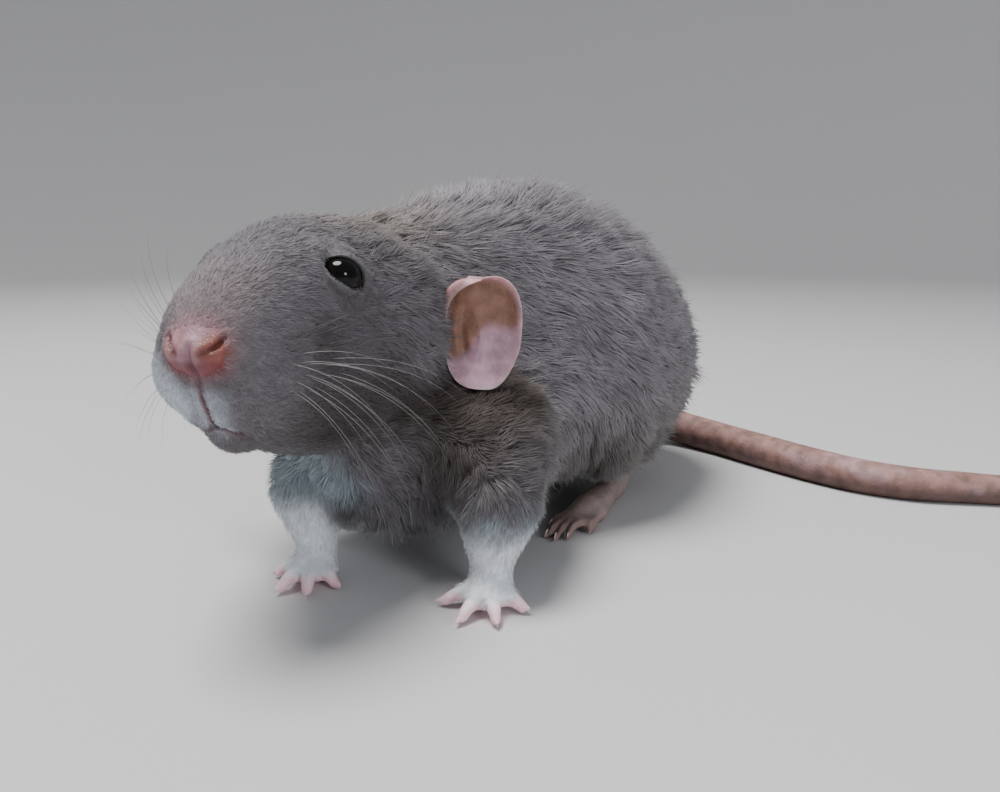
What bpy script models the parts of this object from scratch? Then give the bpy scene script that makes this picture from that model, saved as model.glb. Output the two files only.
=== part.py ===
"""Pet rat, a still, life-size model that stands on four feet with its nose raised.

Metres, +Z up. The rat faces -Y, its own left is +X, and its soles lie on z = 0.
The body is modelled whole, as lofted sections and rounded masses fused to one skin, and is
then parted by thin cuts into the pieces that a person would name. Every neighbour is GAP away.
"""
import math

import bmesh
import bpy
from mathutils import Matrix, Vector
from mathutils.bvhtree import BVHTree

MM = 0.001

# Driving dimensions, in millimetres unless the name says otherwise
GAP = 0.3                       # space between nodes that touch
BODY_VOXEL = 1.3                # grid of the fused trunk
HEAD_VOXEL = 0.7                # grid of the fused head
PAW_VOXEL = 0.42                # grid of the fused feet
BODY_FACES = 2500               # triangles kept on the whole trunk and legs
HEAD_FACES = 2500               # triangles kept on the head
CUTTER_FACES = 700              # triangles of a plain copy that clears a neighbour
CUTTER_GROWTH = 0.45            # growth of that copy, which leaves about GAP
REGION_FACES = 260              # triangles of the space that takes a leg out
REGION_GROWTH = 0.36            # growth of that space to clear the trunk of the leg
FOREPAW_FACES = 480
HINDFOOT_FACES = 560
RING = 36                       # points in one section of the trunk

RUMP_Y = 146.0                  # furthest point of the rump, from the nose tip
NOSE = (-8.0, 0.0, 47.0)        # centre of the nose pad
HEAD_YAW = 10.0                 # degrees, turned to the rat's left
HEAD_ROLL = 0.0                 # degrees, left side up

EYE_RADIUS = 3.45
EYE_PLACE = (21.6, 10.2, 8.6)   # back from the nose, to the side, up
EYE_TILT = 28.0                 # degrees, the rear corner of the lids lies lower
LID_RADIUS = 0.62
LID_OUT = 1.05                  # plane of the lids, out from the eye's middle
LID_REACH = 1.06                # half length of the lids, in eye radii
LID_RISE = 0.80                 # height of each lid's arc, in eye radii

EAR_PLACE = (39.0, 20.6, -2.6)  # middle of the ear's root in the head's frame
EAR_SWEEP = 24.0                # degrees, turned back from straight out
EAR_THICK = 0.9
EAR_WIDE = 14.4
EAR_TALL = 20.0
EAR_CUP = 2.6                   # depth of the cup

FORE_X = 16.8                   # forefeet, each side of the midline
FORE_Y = {"left": 33.5, "right": 29.5}
FORE_LEAN = {"left": 0.0, "right": 2.6}    # upper leg, further out than the foot
HIND_X = 19.5
HIND_TOE_Y = 66.0
HIND_FOOT = 38.5                # heel to the tip of the longest toe

TAIL_BASE = 9.6                 # thickness at the root
TAIL_TIP = 2.2

HEAD_END = 43.0                 # the head's last section, back from the nose
NECK_END = 56.0                 # the neck's last section, back from the nose
WRIST_Z = 7.4                   # height of the cut between foreleg and forefoot
ANKLE_Z = 8.6                   # height of the cut between hind leg and hind foot
MIDDLE = (57.8, 78.3, 0.0)      # middle of the whole, which becomes the origin
SIDES = (("left", 1), ("right", -1))

# Cleft of the upper lip, back and up from the nose; mouth line, back, to the side and up
CLEFT = [(-1.8, -1.5), (-1.0, -3.5), (0.4, -6.0), (2.0, -8.5), (3.6, -10.6)]
MOUTH = [(3.4, 0.4, -10.6), (4.4, 2.0, -11.3), (6.0, 3.6, -12.0), (7.8, 4.9, -12.5)]
# Nostril, a comma from the front of the nose round its side: back, to the side, up, radius
NOSTRIL = [(-1.4, 2.0, -0.7, 0.5), (-0.6, 3.2, -0.4, 0.62), (0.9, 4.4, 0.2, 0.55),
           (2.4, 5.2, 1.0, 0.3)]
# Toes of each forefoot: degrees from straight ahead towards the left, and reach
FORE_FAN = {
    "left": [(-65.0, 8.4), (-9.0, 8.6), (36.0, 8.2), (90.0, 7.4)],
    "right": [(-70.0, 7.4), (-12.0, 8.4), (29.0, 8.2), (74.0, 7.6)],
}
# Toes of a hind foot: degrees outward, reach, and root's distance outward
HIND_FAN = [(-42.0, 7.0, -2.2), (-12.0, 11.6, -1.9), (0.0, 12.2, 0.0), (12.0, 11.4, 1.9),
            (44.0, 7.6, 2.4)]
TAIL_NODES = ("tail_base", "tail_middle", "tail_end", "tail_tip")
# Route of the tail over the floor: x, y, and lift above where it would lie
TAIL_ROUTE = [(0.0, 139.0, 16.0), (7.0, 150.0, 8.0), (20.0, 154.0, 1.6), (34.0, 149.5, 0.0),
              (47.0, 141.5, 0.0), (60.0, 134.0, 0.0), (72.0, 129.0, 0.0), (84.0, 128.0, 0.0),
              (96.0, 131.0, 0.0), (109.0, 134.5, 0.0), (123.0, 137.5, 0.0),
              (137.0, 138.0, 0.0), (151.0, 135.0, 0.0), (165.0, 128.0, 0.0)]

# Finishes as (red, green, blue, roughness)
FINISH = {
    "coat": (0.145, 0.135, 0.145, 0.95),
    "pale_coat": (0.62, 0.64, 0.66, 0.95),
    "skin": (0.62, 0.36, 0.34, 0.6),
    "ear_skin": (0.55, 0.30, 0.30, 0.6),
    "tail_skin": (0.38, 0.24, 0.22, 0.7),
    "eye": (0.006, 0.005, 0.006, 0.06),
}


def clear_scene():
    """Remove every object that the file opens with."""
    for item in list(bpy.data.objects):
        bpy.data.objects.remove(item, do_unlink=True)


def new_collection(name):
    """Make a collection under the scene."""
    made = bpy.data.collections.new(name)
    bpy.context.scene.collection.children.link(made)
    return made


def finish(name, node):
    """Make the node's own material from a named finish."""
    red, green, blue, rough = FINISH[name]
    made = bpy.data.materials.new(node + "_" + name)
    made.use_nodes = True
    shader = made.node_tree.nodes["Principled BSDF"]
    shader.inputs["Base Color"].default_value = (red, green, blue, 1.0)
    shader.inputs["Roughness"].default_value = rough
    shader.inputs["Metallic"].default_value = 0.0
    made.diffuse_color = (red, green, blue, 1.0)
    return made


def as_object(name, mesh_data):
    """Put a mesh in the workshop collection, as a guide that isn't shown."""
    made = bpy.data.objects.new(name, mesh_data)
    WORKSHOP.objects.link(made)
    made.hide_render = True
    made.display_type = "WIRE"
    return made


def from_bmesh(name, shape):
    """Turn a bmesh into an object, with its faces pointing out."""
    bmesh.ops.recalc_face_normals(shape, faces=shape.faces)
    data = bpy.data.meshes.new(name)
    shape.to_mesh(data)
    shape.free()
    return as_object(name, data)


def loft(name, rings):
    """Skin a row of closed rings that have the same number of points, with a cap at each end."""
    shape = bmesh.new()
    rows = [[shape.verts.new(Vector(point) * MM) for point in ring] for ring in rings]
    for lower, upper in zip(rows, rows[1:]):
        for i, corner in enumerate(lower):
            j = (i + 1) % len(lower)
            shape.faces.new((corner, lower[j], upper[j], upper[i]))
    shape.faces.new(rows[0])
    shape.faces.new(rows[-1])
    return from_bmesh(name, shape)


def blend(values, t):
    """Smooth value at t, from 0 to 1, along a row of tuples, by Catmull-Rom."""
    last = len(values) - 1
    place = min(max(t, 0.0), 1.0) * last
    i = min(int(place), last - 1)
    u = place - i
    before = values[max(i - 1, 0)]
    here = values[i]
    there = values[i + 1]
    after = values[min(i + 2, last)]
    return tuple(0.5 * (2 * b + (c - a) * u + (2 * a - 5 * b + 4 * c - d) * u * u
                        + (3 * b - 3 * c + d - a) * u ** 3)
                 for a, b, c, d in zip(before, here, there, after))


def rounded_ring(centre, half_width, top, bottom, middle, power=2.2):
    """Upright section: its widest line lies at the height middle, between bottom and top."""
    ring = []
    for i in range(RING):
        angle = 2.0 * math.pi * i / RING
        across = math.copysign(abs(math.cos(angle)) ** (2.0 / power), math.cos(angle))
        rise = math.copysign(abs(math.sin(angle)) ** (2.0 / power), math.sin(angle))
        reach = (top - middle) if rise > 0 else (middle - bottom)
        ring.append((centre[0] + half_width * across, centre[1], middle + reach * rise))
    return ring


def ball(name, centre, radii, turn=None, sides=24):
    """Rounded mass with three radii, turned about its own centre."""
    shape = bmesh.new()
    bmesh.ops.create_uvsphere(shape, u_segments=sides, v_segments=sides * 2 // 3, radius=1.0)
    scale = Matrix.Diagonal((radii[0] * MM, radii[1] * MM, radii[2] * MM, 1.0))
    turned = turn.to_4x4() if turn is not None else Matrix.Identity(4)
    place = Matrix.Translation(Vector(centre) * MM) @ turned @ scale
    bmesh.ops.transform(shape, matrix=place, verts=shape.verts)
    return from_bmesh(name, shape)


def limb(name, stations, sides=6, steps=5):
    """Tapered round limb through stations of x, y, z and radius, as a bevelled curve made a mesh."""
    curve = bpy.data.curves.new(name, "CURVE")
    curve.dimensions = "3D"
    curve.bevel_depth = MM
    curve.bevel_resolution = sides // 2
    curve.use_fill_caps = True
    count = (len(stations) - 1) * steps
    spline = curve.splines.new("POLY")
    spline.points.add(count)
    for i in range(count + 1):
        x, y, z, radius = blend(stations, i / count)
        spline.points[i].co = (x * MM, y * MM, z * MM, 1.0)
        spline.points[i].radius = max(radius, 0.12)
    guide = bpy.data.objects.new(name, curve)
    WORKSHOP.objects.link(guide)
    bpy.context.view_layer.update()
    evaluated = guide.evaluated_get(bpy.context.evaluated_depsgraph_get())
    data = bpy.data.meshes.new_from_object(evaluated)
    bpy.data.objects.remove(guide, do_unlink=True)
    shape = bmesh.new()
    shape.from_mesh(data)
    bmesh.ops.remove_doubles(shape, verts=shape.verts, dist=0.00002)
    bpy.data.meshes.remove(data)
    return from_bmesh(name, shape)


def settle(item):
    """Apply all modifiers of an object by taking its evaluated mesh."""
    bpy.context.view_layer.update()
    evaluated = item.evaluated_get(bpy.context.evaluated_depsgraph_get())
    data = bpy.data.meshes.new_from_object(evaluated)
    old = item.data
    item.modifiers.clear()
    item.data = data
    bpy.data.meshes.remove(old)
    return item


def keep_side(item, point, ahead):
    """Cut a solid flat at a point and keep the part on the side that ahead points to."""
    shape = bmesh.new()
    shape.from_mesh(item.data)
    everything = shape.verts[:] + shape.edges[:] + shape.faces[:]
    bmesh.ops.bisect_plane(shape, geom=everything, dist=0.000001, clear_inner=True,
                           plane_co=Vector(point) * MM, plane_no=Vector(ahead))
    rim = [edge for edge in shape.edges if edge.is_boundary]
    bmesh.ops.holes_fill(shape, edges=rim, sides=0)
    shape.to_mesh(item.data)
    shape.free()
    return keep_largest(item)


def copy_of(item, name):
    """Separate copy of a workshop object."""
    return as_object(name, item.data.copy())


def drop(*items):
    """Remove workshop objects that have done their work."""
    for item in items:
        bpy.data.objects.remove(item, do_unlink=True)


def merge(name, items):
    """Put the surfaces of several objects in one object, for a remesh to fuse."""
    shape = bmesh.new()
    for item in items:
        shape.from_mesh(item.data)
    data = bpy.data.meshes.new(name)
    shape.to_mesh(data)
    shape.free()
    drop(*items)
    return as_object(name, data)


def fuse(name, items, voxel, smoothing):
    """Fuse overlapping closed shapes to one skin and soften where they meet."""
    made = merge(name, items)
    remesh = made.modifiers.new("Fuse", "REMESH")
    remesh.mode = "VOXEL"
    remesh.voxel_size = voxel * MM
    soften = made.modifiers.new("Soften", "SMOOTH")
    soften.factor = 0.5
    soften.iterations = smoothing
    settle(made)
    return keep_largest(made)


def thin_out(item, faces):
    """Collapse a mesh to about a number of triangles."""
    triangles = sum(len(face.vertices) - 2 for face in item.data.polygons)
    lighter = item.modifiers.new("Thin out", "DECIMATE")
    lighter.ratio = min(1.0, faces / triangles)
    lighter.use_collapse_triangulate = True
    return settle(item)


def grown(item, distance, name):
    """Copy of a closed shape with its skin moved out along the normals."""
    made = copy_of(item, name)
    outward = made.modifiers.new("Grow", "DISPLACE")
    outward.strength = distance * MM
    outward.mid_level = 0.0
    return settle(made)


def combine(item, other, operation):
    """Boolean with the exact solver, or the manifold one where that leaves nothing."""
    before = item.data.copy()
    for solver in ("EXACT", "MANIFOLD"):
        cut = item.modifiers.new("Cut", "BOOLEAN")
        cut.operation = operation
        cut.solver = solver
        cut.object = other
        settle(item)
        if is_closed(item):
            break
        item.data = before.copy()
    return keep_largest(item)


def is_closed(item):
    """Tell whether every edge has two faces, and there are some."""
    shape = bmesh.new()
    shape.from_mesh(item.data)
    closed = len(shape.faces) > 3 and all(len(edge.link_faces) == 2 for edge in shape.edges)
    shape.free()
    return closed


def keep_largest(item):
    """Keep only the largest closed surface of a mesh, and tidy its smallest edges."""
    for near in (0.000006, 0.000002, 0.0):
        shape = bmesh.new()
        shape.from_mesh(item.data)
        bmesh.ops.remove_doubles(shape, verts=shape.verts, dist=near)
        bmesh.ops.triangulate(shape, faces=shape.faces)
        if near == 0.0 or all(len(edge.link_faces) == 2 for edge in shape.edges):
            break
        shape.free()
    seen = set()
    groups = []
    for start in shape.verts:
        if start in seen:
            continue
        group = [start]
        seen.add(start)
        for corner in group:
            for edge in corner.link_edges:
                other = edge.other_vert(corner)
                if other not in seen:
                    seen.add(other)
                    group.append(other)
        groups.append(group)
    groups.sort(key=len)
    spare = [corner for group in groups[:-1] for corner in group]
    bmesh.ops.delete(shape, geom=spare, context="VERTS")
    shape.to_mesh(item.data)
    shape.free()
    item.data.update()
    return item


def hand_over(item, node, finish_name):
    """Move a finished solid to the rat's collection under its node's name."""
    WORKSHOP.objects.unlink(item)
    RAT.objects.link(item)
    item.name = node
    item.data.name = node
    item.hide_render = False
    item.display_type = "TEXTURED"
    item.data.materials.clear()
    item.data.materials.append(finish(finish_name, node))
    item.data.shade_smooth()
    item.data.set_sharp_from_angle(angle=math.radians(40.0))
    return item


def head_frame():
    """Matrix from the head's own frame, whose origin is the nose, to the world."""
    turn = Matrix.Rotation(math.radians(HEAD_YAW), 4, "Z")
    lean = Matrix.Rotation(-math.radians(HEAD_ROLL), 4, "Y")
    return Matrix.Translation(Vector(NOSE)) @ turn @ lean


def in_head(back, side, up):
    """World point in millimetres of a place given back from the nose, to the left, and up."""
    return tuple(HEAD @ Vector((side, back, up)))


def trunk_rings():
    """Sections of the trunk from the rump to the neck: x, y, half width, top, bottom, middle."""
    sections = [
        (1.0, RUMP_Y, 8.0, 30.0, 15.0, 23.0),
        (0.5, RUMP_Y - 3, 17.0, 40.0, 8.0, 24.0),
        (0.0, RUMP_Y - 11, 27.5, 52.0, 4.5, 27.0),
        (0.0, RUMP_Y - 23, 33.5, 62.0, 4.0, 30.0),
        (0.0, RUMP_Y - 37, 35.0, 68.0, 5.0, 32.0),
        (0.0, RUMP_Y - 52, 34.0, 72.3, 7.5, 34.0),
        (-1.0, RUMP_Y - 66, 32.0, 73.5, 9.0, 34.0),
        (-6.0, RUMP_Y - 79, 26.0, 71.0, 8.5, 30.0),
        (-10.5, RUMP_Y - 90, 20.5, 68.5, 7.5, 28.0),
        (-12.5, RUMP_Y - 99, 18.0, 66.8, 7.8, 29.0),
        (-13.0, RUMP_Y - 106, 17.0, 65.4, 9.5, 33.0),
        (-12.5, RUMP_Y - 112, 15.0, 62.0, 13.0, 36.0),
        (-11.5, RUMP_Y - 117, 11.0, 54.0, 19.0, 36.0),
    ]
    steps = 34
    fine = [blend(sections, i / steps) for i in range(steps + 1)]
    return [rounded_ring((x, y), wide, top, bottom, middle)
            for x, y, wide, top, bottom, middle in fine]


def head_rings(low=0.0, high=1.0, stretch=1.0):
    """Sections of the head between two shares of its length, wider by a factor if asked."""
    sections = [
        (-0.2, 3.4, 2.8, -4.0, -0.4),
        (1.6, 6.6, 5.6, -8.4, -0.8),
        (4.0, 9.2, 8.6, -11.6, -1.2),
        (8.0, 10.9, 12.0, -14.6, -1.8),
        (13.0, 11.9, 15.0, -17.2, -2.4),
        (18.0, 12.7, 17.2, -19.2, -3.0),
        (23.0, 14.2, 18.6, -21.0, -3.4),
        (29.0, 17.2, 19.2, -22.6, -3.6),
        (35.0, 19.8, 19.4, -24.4, -3.2),
        (41.0, 21.2, 19.4, -26.2, -3.0),
        (48.0, 21.4, 18.8, -28.0, -3.0),
        (56.0, 20.0, 17.0, -29.0, -4.0),
    ]
    steps = max(4, round(33 * (high - low)))
    rings = []
    for i in range(steps + 1):
        back, wide, top, bottom, middle = blend(sections, low + (high - low) * i / steps)
        ring = rounded_ring((0.0, back), wide * stretch, top * stretch, bottom * stretch,
                            middle, power=2.1)
        rings.append([tuple(HEAD @ Vector(point)) for point in ring])
    return rings


def hindfoot_heel():
    """Distance of the heel behind the nose tip."""
    return HIND_TOE_Y + HIND_FOOT


def trunk_masses():
    """Soft masses of the trunk, which blend with no edge: core, breast, shoulders and haunches."""
    pieces = [loft("trunk", trunk_rings()), loft("head_back", head_rings(0.6, 1.0)),
              ball("breast", (-3.0, 50.0, 24.0), (14.0, 15.0, 13.5))]
    for side, sign in SIDES:
        pieces.append(ball("shoulder", (sign * 14 - 3, FORE_Y[side] + 18, 25), (12.5, 17, 13)))
        pieces.append(ball("haunch", (sign * 20, RUMP_Y - 43, 31), (15.5, 27, 23)))
    return pieces


def leg_limbs():
    """The four legs down to the ankles, as tapered limbs that reach into the trunk."""
    pieces = []
    for side, sign in SIDES:
        paw_y = FORE_Y[side]
        heel = hindfoot_heel()
        lean = sign * FORE_LEAN[side]
        pieces.append(limb("foreleg", [
            (sign * 15 - 1, paw_y + 13, 26, 9.5),
            (sign * 17 + lean, paw_y + 6.5, 19, 7.8),
            (sign * (FORE_X + 0.3) + lean * 0.5, paw_y + 4.4, 12, 4.8),
            (sign * FORE_X, paw_y + 4, 7, 3.4),
            (sign * FORE_X, paw_y + 3.5, 3, 3.3),
        ], sides=12))
        pieces.append(limb("hindleg", [
            (sign * 22, heel - 10, 27, 12),
            (sign * 22, heel - 18, 20, 10),
            (sign * 21, heel - 13, 13.5, 6.5),
            (sign * (HIND_X + 0.5), heel - 5, 8.5, 4.4),
            (sign * HIND_X, heel - 4, 4, 3.8),
        ], sides=12))
    return pieces


def eye_axes(sign):
    """Directions of an eye in the head's frame: out of the head, along the lids, across them."""
    out = Vector((sign * 0.79, -0.48, 0.38)).normalized()
    back = Vector((0.0, math.cos(math.radians(EYE_TILT)), -math.sin(math.radians(EYE_TILT))))
    along = (back - out * back.dot(out)).normalized()
    across = out.cross(along) * -sign
    return out, along, across


def lid_arcs(sign):
    """Upper and lower lid of one eye, as tapered arcs that meet at its corners."""
    out, along, across = eye_axes(sign)
    centre = Vector((sign * EYE_PLACE[1], EYE_PLACE[0], EYE_PLACE[2]))
    arcs = []
    for upper in (1, -1):
        stations = []
        for i in range(9):
            angle = math.pi * i / 8
            spot = (centre + out * LID_OUT + along * (EYE_RADIUS * LID_REACH * math.cos(angle))
                    + across * (upper * EYE_RADIUS * LID_RISE * math.sin(angle)))
            swell = LID_RADIUS * (0.75 + 0.45 * math.sin(angle))
            stations.append((*(HEAD @ spot), swell))
        arcs.append(limb("lid", stations, sides=6, steps=2))
    return arcs


def head_masses():
    """Soft masses of the head, which blend with no edge: core, cheeks, muzzle pads and brows."""
    pieces = [loft("head_core", head_rings())]
    for _, sign in SIDES:
        pieces.append(ball("muzzle_pad", in_head(6.8, sign * 5.0, -3.4), (6.0, 6.2, 6.8)))
        pieces.append(ball("brow", in_head(21.5, sign * 7.0, 9.6), (4.6, 7.5, 5.2)))
        pieces.append(ball("cheek", in_head(28.0, sign * 8.0, -7.0), (9.0, 14.0, 12.0)))
    return pieces


def head_details():
    """Forms of the head that keep their edges: nose, lips, chin and lids."""
    pieces = [ball("chin", in_head(9.0, 0.0, -12.6), (4.4, 4.8, 3.4)),
              ball("nose_tip", in_head(0.2, 0.0, 0.2), (2.5, 2.2, 2.6))]
    for _, sign in SIDES:
        pieces.append(ball("nose_wing", in_head(1.8, sign * 2.8, 0.1), (2.3, 2.8, 2.6)))
        pieces.append(ball("upper_lip", in_head(5.4, sign * 2.9, -8.6), (3.3, 3.5, 2.9)))
        pieces.extend(lid_arcs(sign))
    return pieces


def snapped(skin, stations, sink):
    """Move stations onto a mesh's surface, sunk by a depth, keeping their radii."""
    shape = bmesh.new()
    shape.from_mesh(skin.data)
    tree = BVHTree.FromBMesh(shape)
    shape.free()
    placed = []
    for x, y, z, radius in stations:
        spot, normal, _, _ = tree.find_nearest(Vector((x, y, z)) * MM)
        spot = spot / MM - normal * sink
        placed.append((spot.x, spot.y, spot.z, radius))
    return placed


def cut_mouth(head):
    """Cut the cleft of the upper lip, the line of the mouth and the nostrils."""
    cleft = [(*in_head(back, 0.0, up), 0.42) for back, up in CLEFT]
    groove = limb("cleft", snapped(head, cleft, -0.05), sides=6, steps=1)
    combine(head, groove, "DIFFERENCE")
    drop(groove)
    for _, sign in SIDES:
        line = [(*in_head(back, sign * across, up), 0.40) for back, across, up in MOUTH]
        groove = limb("mouth", snapped(head, line, -0.05), sides=6, steps=1)
        combine(head, groove, "DIFFERENCE")
        drop(groove)
        slit = [(*in_head(back, sign * across, up), wide) for back, across, up, wide in NOSTRIL]
        nostril = limb("nostril", slit, sides=6, steps=2)
        combine(head, nostril, "DIFFERENCE")
        drop(nostril)


def ear(side, sign):
    """One ear: a cupped shell of skin on a short root, before it is fitted to the head."""
    sweep = math.radians(EAR_SWEEP)
    out = Vector((sign * math.cos(sweep), math.sin(sweep), 0.0))
    face = Vector((sign * math.sin(sweep), -math.cos(sweep), 0.12)).normalized()
    up = Vector((0.0, 0.0, 1.0))
    root = Vector((sign * EAR_PLACE[1], EAR_PLACE[0], EAR_PLACE[2]))
    middle = root + out * (EAR_WIDE * 0.46) + up * 0.6
    shape = bmesh.new()
    rows = []
    rings, spokes = 4, 20
    centre = shape.verts.new(HEAD @ (middle - face * EAR_CUP) * MM)
    for i in range(1, rings + 1):
        share = i / rings
        row = []
        for j in range(spokes):
            angle = 2 * math.pi * j / spokes
            wide = EAR_WIDE * 0.56 * math.cos(angle)
            tall = EAR_TALL * 0.5 * math.sin(angle) * (1.0 + 0.06 * math.cos(angle))
            cup = EAR_CUP * (1.0 - share ** 2.4)
            roll = 0.9 * max(0.0, share - 0.75) * 4.0 * max(0.0, math.sin(angle)) ** 2
            spot = middle + out * (wide * share) + up * (tall * share) - face * (cup - roll)
            row.append(shape.verts.new(HEAD @ spot * MM))
        rows.append(row)
    for j in range(spokes):
        k = (j + 1) % spokes
        shape.faces.new((centre, rows[0][j], rows[0][k]))
        for inner, outer in zip(rows, rows[1:]):
            shape.faces.new((inner[j], outer[j], outer[k]))
            shape.faces.new((inner[j], outer[k], inner[k]))
    data = bpy.data.meshes.new("ear_shell")
    shape.to_mesh(data)
    shape.free()
    shell = as_object("ear_shell", data)
    wall = shell.modifiers.new("Wall", "SOLIDIFY")
    wall.thickness = EAR_THICK * MM
    wall.offset = 0.0
    settle(shell)
    shape = bmesh.new()
    shape.from_mesh(shell.data)
    bmesh.ops.triangulate(shape, faces=shape.faces)
    bmesh.ops.recalc_face_normals(shape, faces=shape.faces)
    shape.to_mesh(shell.data)
    shape.free()
    knob_at = HEAD @ (root + out * 1.6 - face * 3.6 - up * 0.5)
    knob = ball("ear_root", tuple(knob_at), (2.5, 2.7, 4.4), sides=12)
    combine(shell, knob, "UNION")
    drop(knob)
    return shell


def forepaw(side, sign):
    """One forefoot: palm, wrist, four spread digits with claws, and the thumb's stub."""
    middle = Vector((sign * FORE_X, FORE_Y[side] + 2.5, 0.0))
    pieces = [
        ball("palm", (middle.x, middle.y, 2.7), (4.1, 4.3, 2.9), sides=16),
        limb("wrist", [(sign * FORE_X, FORE_Y[side] + 4.2, 10.0, 3.3),
                       (sign * FORE_X, FORE_Y[side] + 3.6, 5.0, 3.3),
                       (middle.x, middle.y, 2.8, 2.6)], sides=10),
        ball("thumb", (middle.x - sign * 3.6, middle.y + 0.8, 2.2), (1.3, 1.2, 1.2), sides=10),
    ]
    for angle, length in FORE_FAN[side]:
        turn = math.radians(angle)
        ahead = Vector((math.sin(turn), -math.cos(turn), 0.0))
        pieces.extend(digit(middle, ahead, 2.6, length, 2.6, 1.35))
    paw = fuse("forepaw", pieces, PAW_VOXEL, 2)
    thin_out(paw, FOREPAW_FACES)
    keep_side(paw, (0, 0, 0), (0, 0, 1))
    return keep_side(paw, (0, 0, WRIST_Z - GAP / 2), (0, 0, -1))


def digit(middle, ahead, start, length, height, thick):
    """One toe from the foot's middle out to its claw: two soft joints, a pad and the claw."""
    def spot(reach, up, radius):
        place = middle + ahead * reach
        return (place.x, place.y, up, radius)

    toe = limb("toe", [
        spot(start, height, thick * 1.12),
        spot(length * 0.62, height * 0.98, thick),
        spot(length * 0.82, thick * 1.05, thick * 0.9),
        spot(length - 1.0, thick * 0.86, thick * 0.95),
        spot(length, thick * 0.9, thick * 0.5),
    ], sides=8, steps=3)
    claw = limb("claw", [
        spot(length - 1.2, thick * 1.25, 0.62),
        spot(length + 0.5, thick * 1.05, 0.5),
        spot(length + 1.8, 0.55, 0.3),
    ], sides=6, steps=2)
    return [toe, claw]


def hindfoot(side, sign):
    """One hind foot: a long sole flat on the floor, five toes with claws."""
    heel = hindfoot_heel()
    ball_y = HIND_TOE_Y + 13.0
    pieces = [
        limb("sole", [(sign * HIND_X, heel - 1.6, 3.0, 2.0),
                      (sign * HIND_X, heel - 4.5, 3.3, 3.3),
                      (sign * HIND_X, heel - 14.0, 3.0, 3.1),
                      (sign * HIND_X, ball_y + 3.0, 3.1, 3.9),
                      (sign * HIND_X, ball_y - 1.5, 2.6, 3.2)], sides=12),
        limb("ankle", [(sign * (HIND_X + 0.5), heel - 5.0, 11.0, 4.2),
                       (sign * HIND_X, heel - 4.4, 5.0, 3.6)], sides=12, steps=3),
        ball("front_pad", (sign * HIND_X, ball_y + 1.0, 2.6), (4.7, 5.4, 2.8), sides=16),
    ]
    for angle, length, root in HIND_FAN:
        turn = math.radians(angle) * sign
        ahead = Vector((math.sin(turn), -math.cos(turn), 0.0))
        middle = Vector((sign * HIND_X + sign * root, ball_y, 0.0))
        pieces.extend(digit(middle, ahead, 0.5, length, 2.4, 1.3))
    foot = fuse("hindfoot", pieces, PAW_VOXEL * 1.15, 2)
    thin_out(foot, HINDFOOT_FACES)
    keep_side(foot, (0, 0, 0), (0, 0, 1))
    return keep_side(foot, (0, 0, ANKLE_Z - GAP / 2), (0, 0, -1))


def tail_radius(share):
    """Radius of the tail at a share of its length: thick for its first half, then tapering."""
    slim = 1.0 - 0.24 * share - 0.76 * share ** 3.2
    return TAIL_TIP / 2 + (TAIL_BASE - TAIL_TIP) / 2 * slim


def tail_station(share):
    """Centre and radius of the tail at a share of its length."""
    x, y, lift = blend(TAIL_ROUTE, share)
    radius = tail_radius(share)
    return (x, y, lift + radius * 0.94, radius)


def tail_length(low, high):
    """One length of the tail between two shares of it, with a flat below where it lies."""
    count = 11
    spare = 0.012
    first = max(low - spare, 0.0)
    last = min(high + spare, 1.0)
    stations = [tail_station(first + (last - first) * i / (count - 1)) for i in range(count)]
    made = limb("tail", stations, sides=8, steps=1)
    keep_side(made, (0, 0, 0), (0, 0, 1))
    for share, way in ((low, 1), (high, -1)):
        if 0.0 < share < 1.0:
            here = Vector(tail_station(share)[:3])
            ahead = Vector(tail_station(share + 0.004)[:3]) - here
            ahead = ahead.normalized() * way
            keep_side(made, here + ahead * (GAP / 2), ahead)
    return made


def part_head(trunk, clear_of_head):
    """Clear the trunk from the head's space, with a clean rim round the head's last section."""
    combine(trunk, clear_of_head, "DIFFERENCE")
    collar = loft("collar", head_rings(0.5, 1.0, 1.07))
    keep_side(collar, in_head(HEAD_END + GAP, 0, 0), -HEAD_AHEAD)
    combine(trunk, collar, "DIFFERENCE")
    drop(collar)


def leg_region(side, sign, front):
    """Closed space that takes one leg out of the trunk."""
    if front:
        paw_y = FORE_Y[side]
        pieces = [
            ball("region", (sign * 22 - 3, paw_y + 17, 23), (13, 14, 16)),
            limb("region", [(sign * 18, paw_y + 9, 26, 9), (sign * 17.5, paw_y + 7, 14, 8.5),
                            (sign * 17, paw_y + 5, 0, 8), (sign * 17, paw_y + 5, -4, 8)], sides=12),
        ]
    else:
        heel = hindfoot_heel()
        pieces = [
            ball("region", (sign * 27, RUMP_Y - 43, 30), (15, 26, 25)),
            limb("region", [(sign * 23, heel - 12, 26, 10), (sign * 21, heel - 10, 12, 9),
                            (sign * 20, heel - 5, 2, 8), (sign * 20, heel - 5, -4, 8)], sides=12),
        ]
    region = fuse("region", pieces, 1.6, 9)
    return thin_out(region, REGION_FACES)


def part_legs(trunk):
    """Take the four legs out of the trunk, each with a thin gap all round."""
    legs = []
    for front, name, level in ((True, "foreleg", WRIST_Z), (False, "hindleg", ANKLE_Z)):
        for side, sign in SIDES:
            region = leg_region(side, sign, front)
            leg = copy_of(trunk, "leg")
            combine(leg, region, "INTERSECT")
            keep_side(leg, (0, 0, level + GAP / 2), (0, 0, 1))
            wider = grown(region, REGION_GROWTH, "region_wide")
            combine(trunk, wider, "DIFFERENCE")
            drop(region, wider)
            legs.append((leg, name + "_" + side))
    return legs


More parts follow.
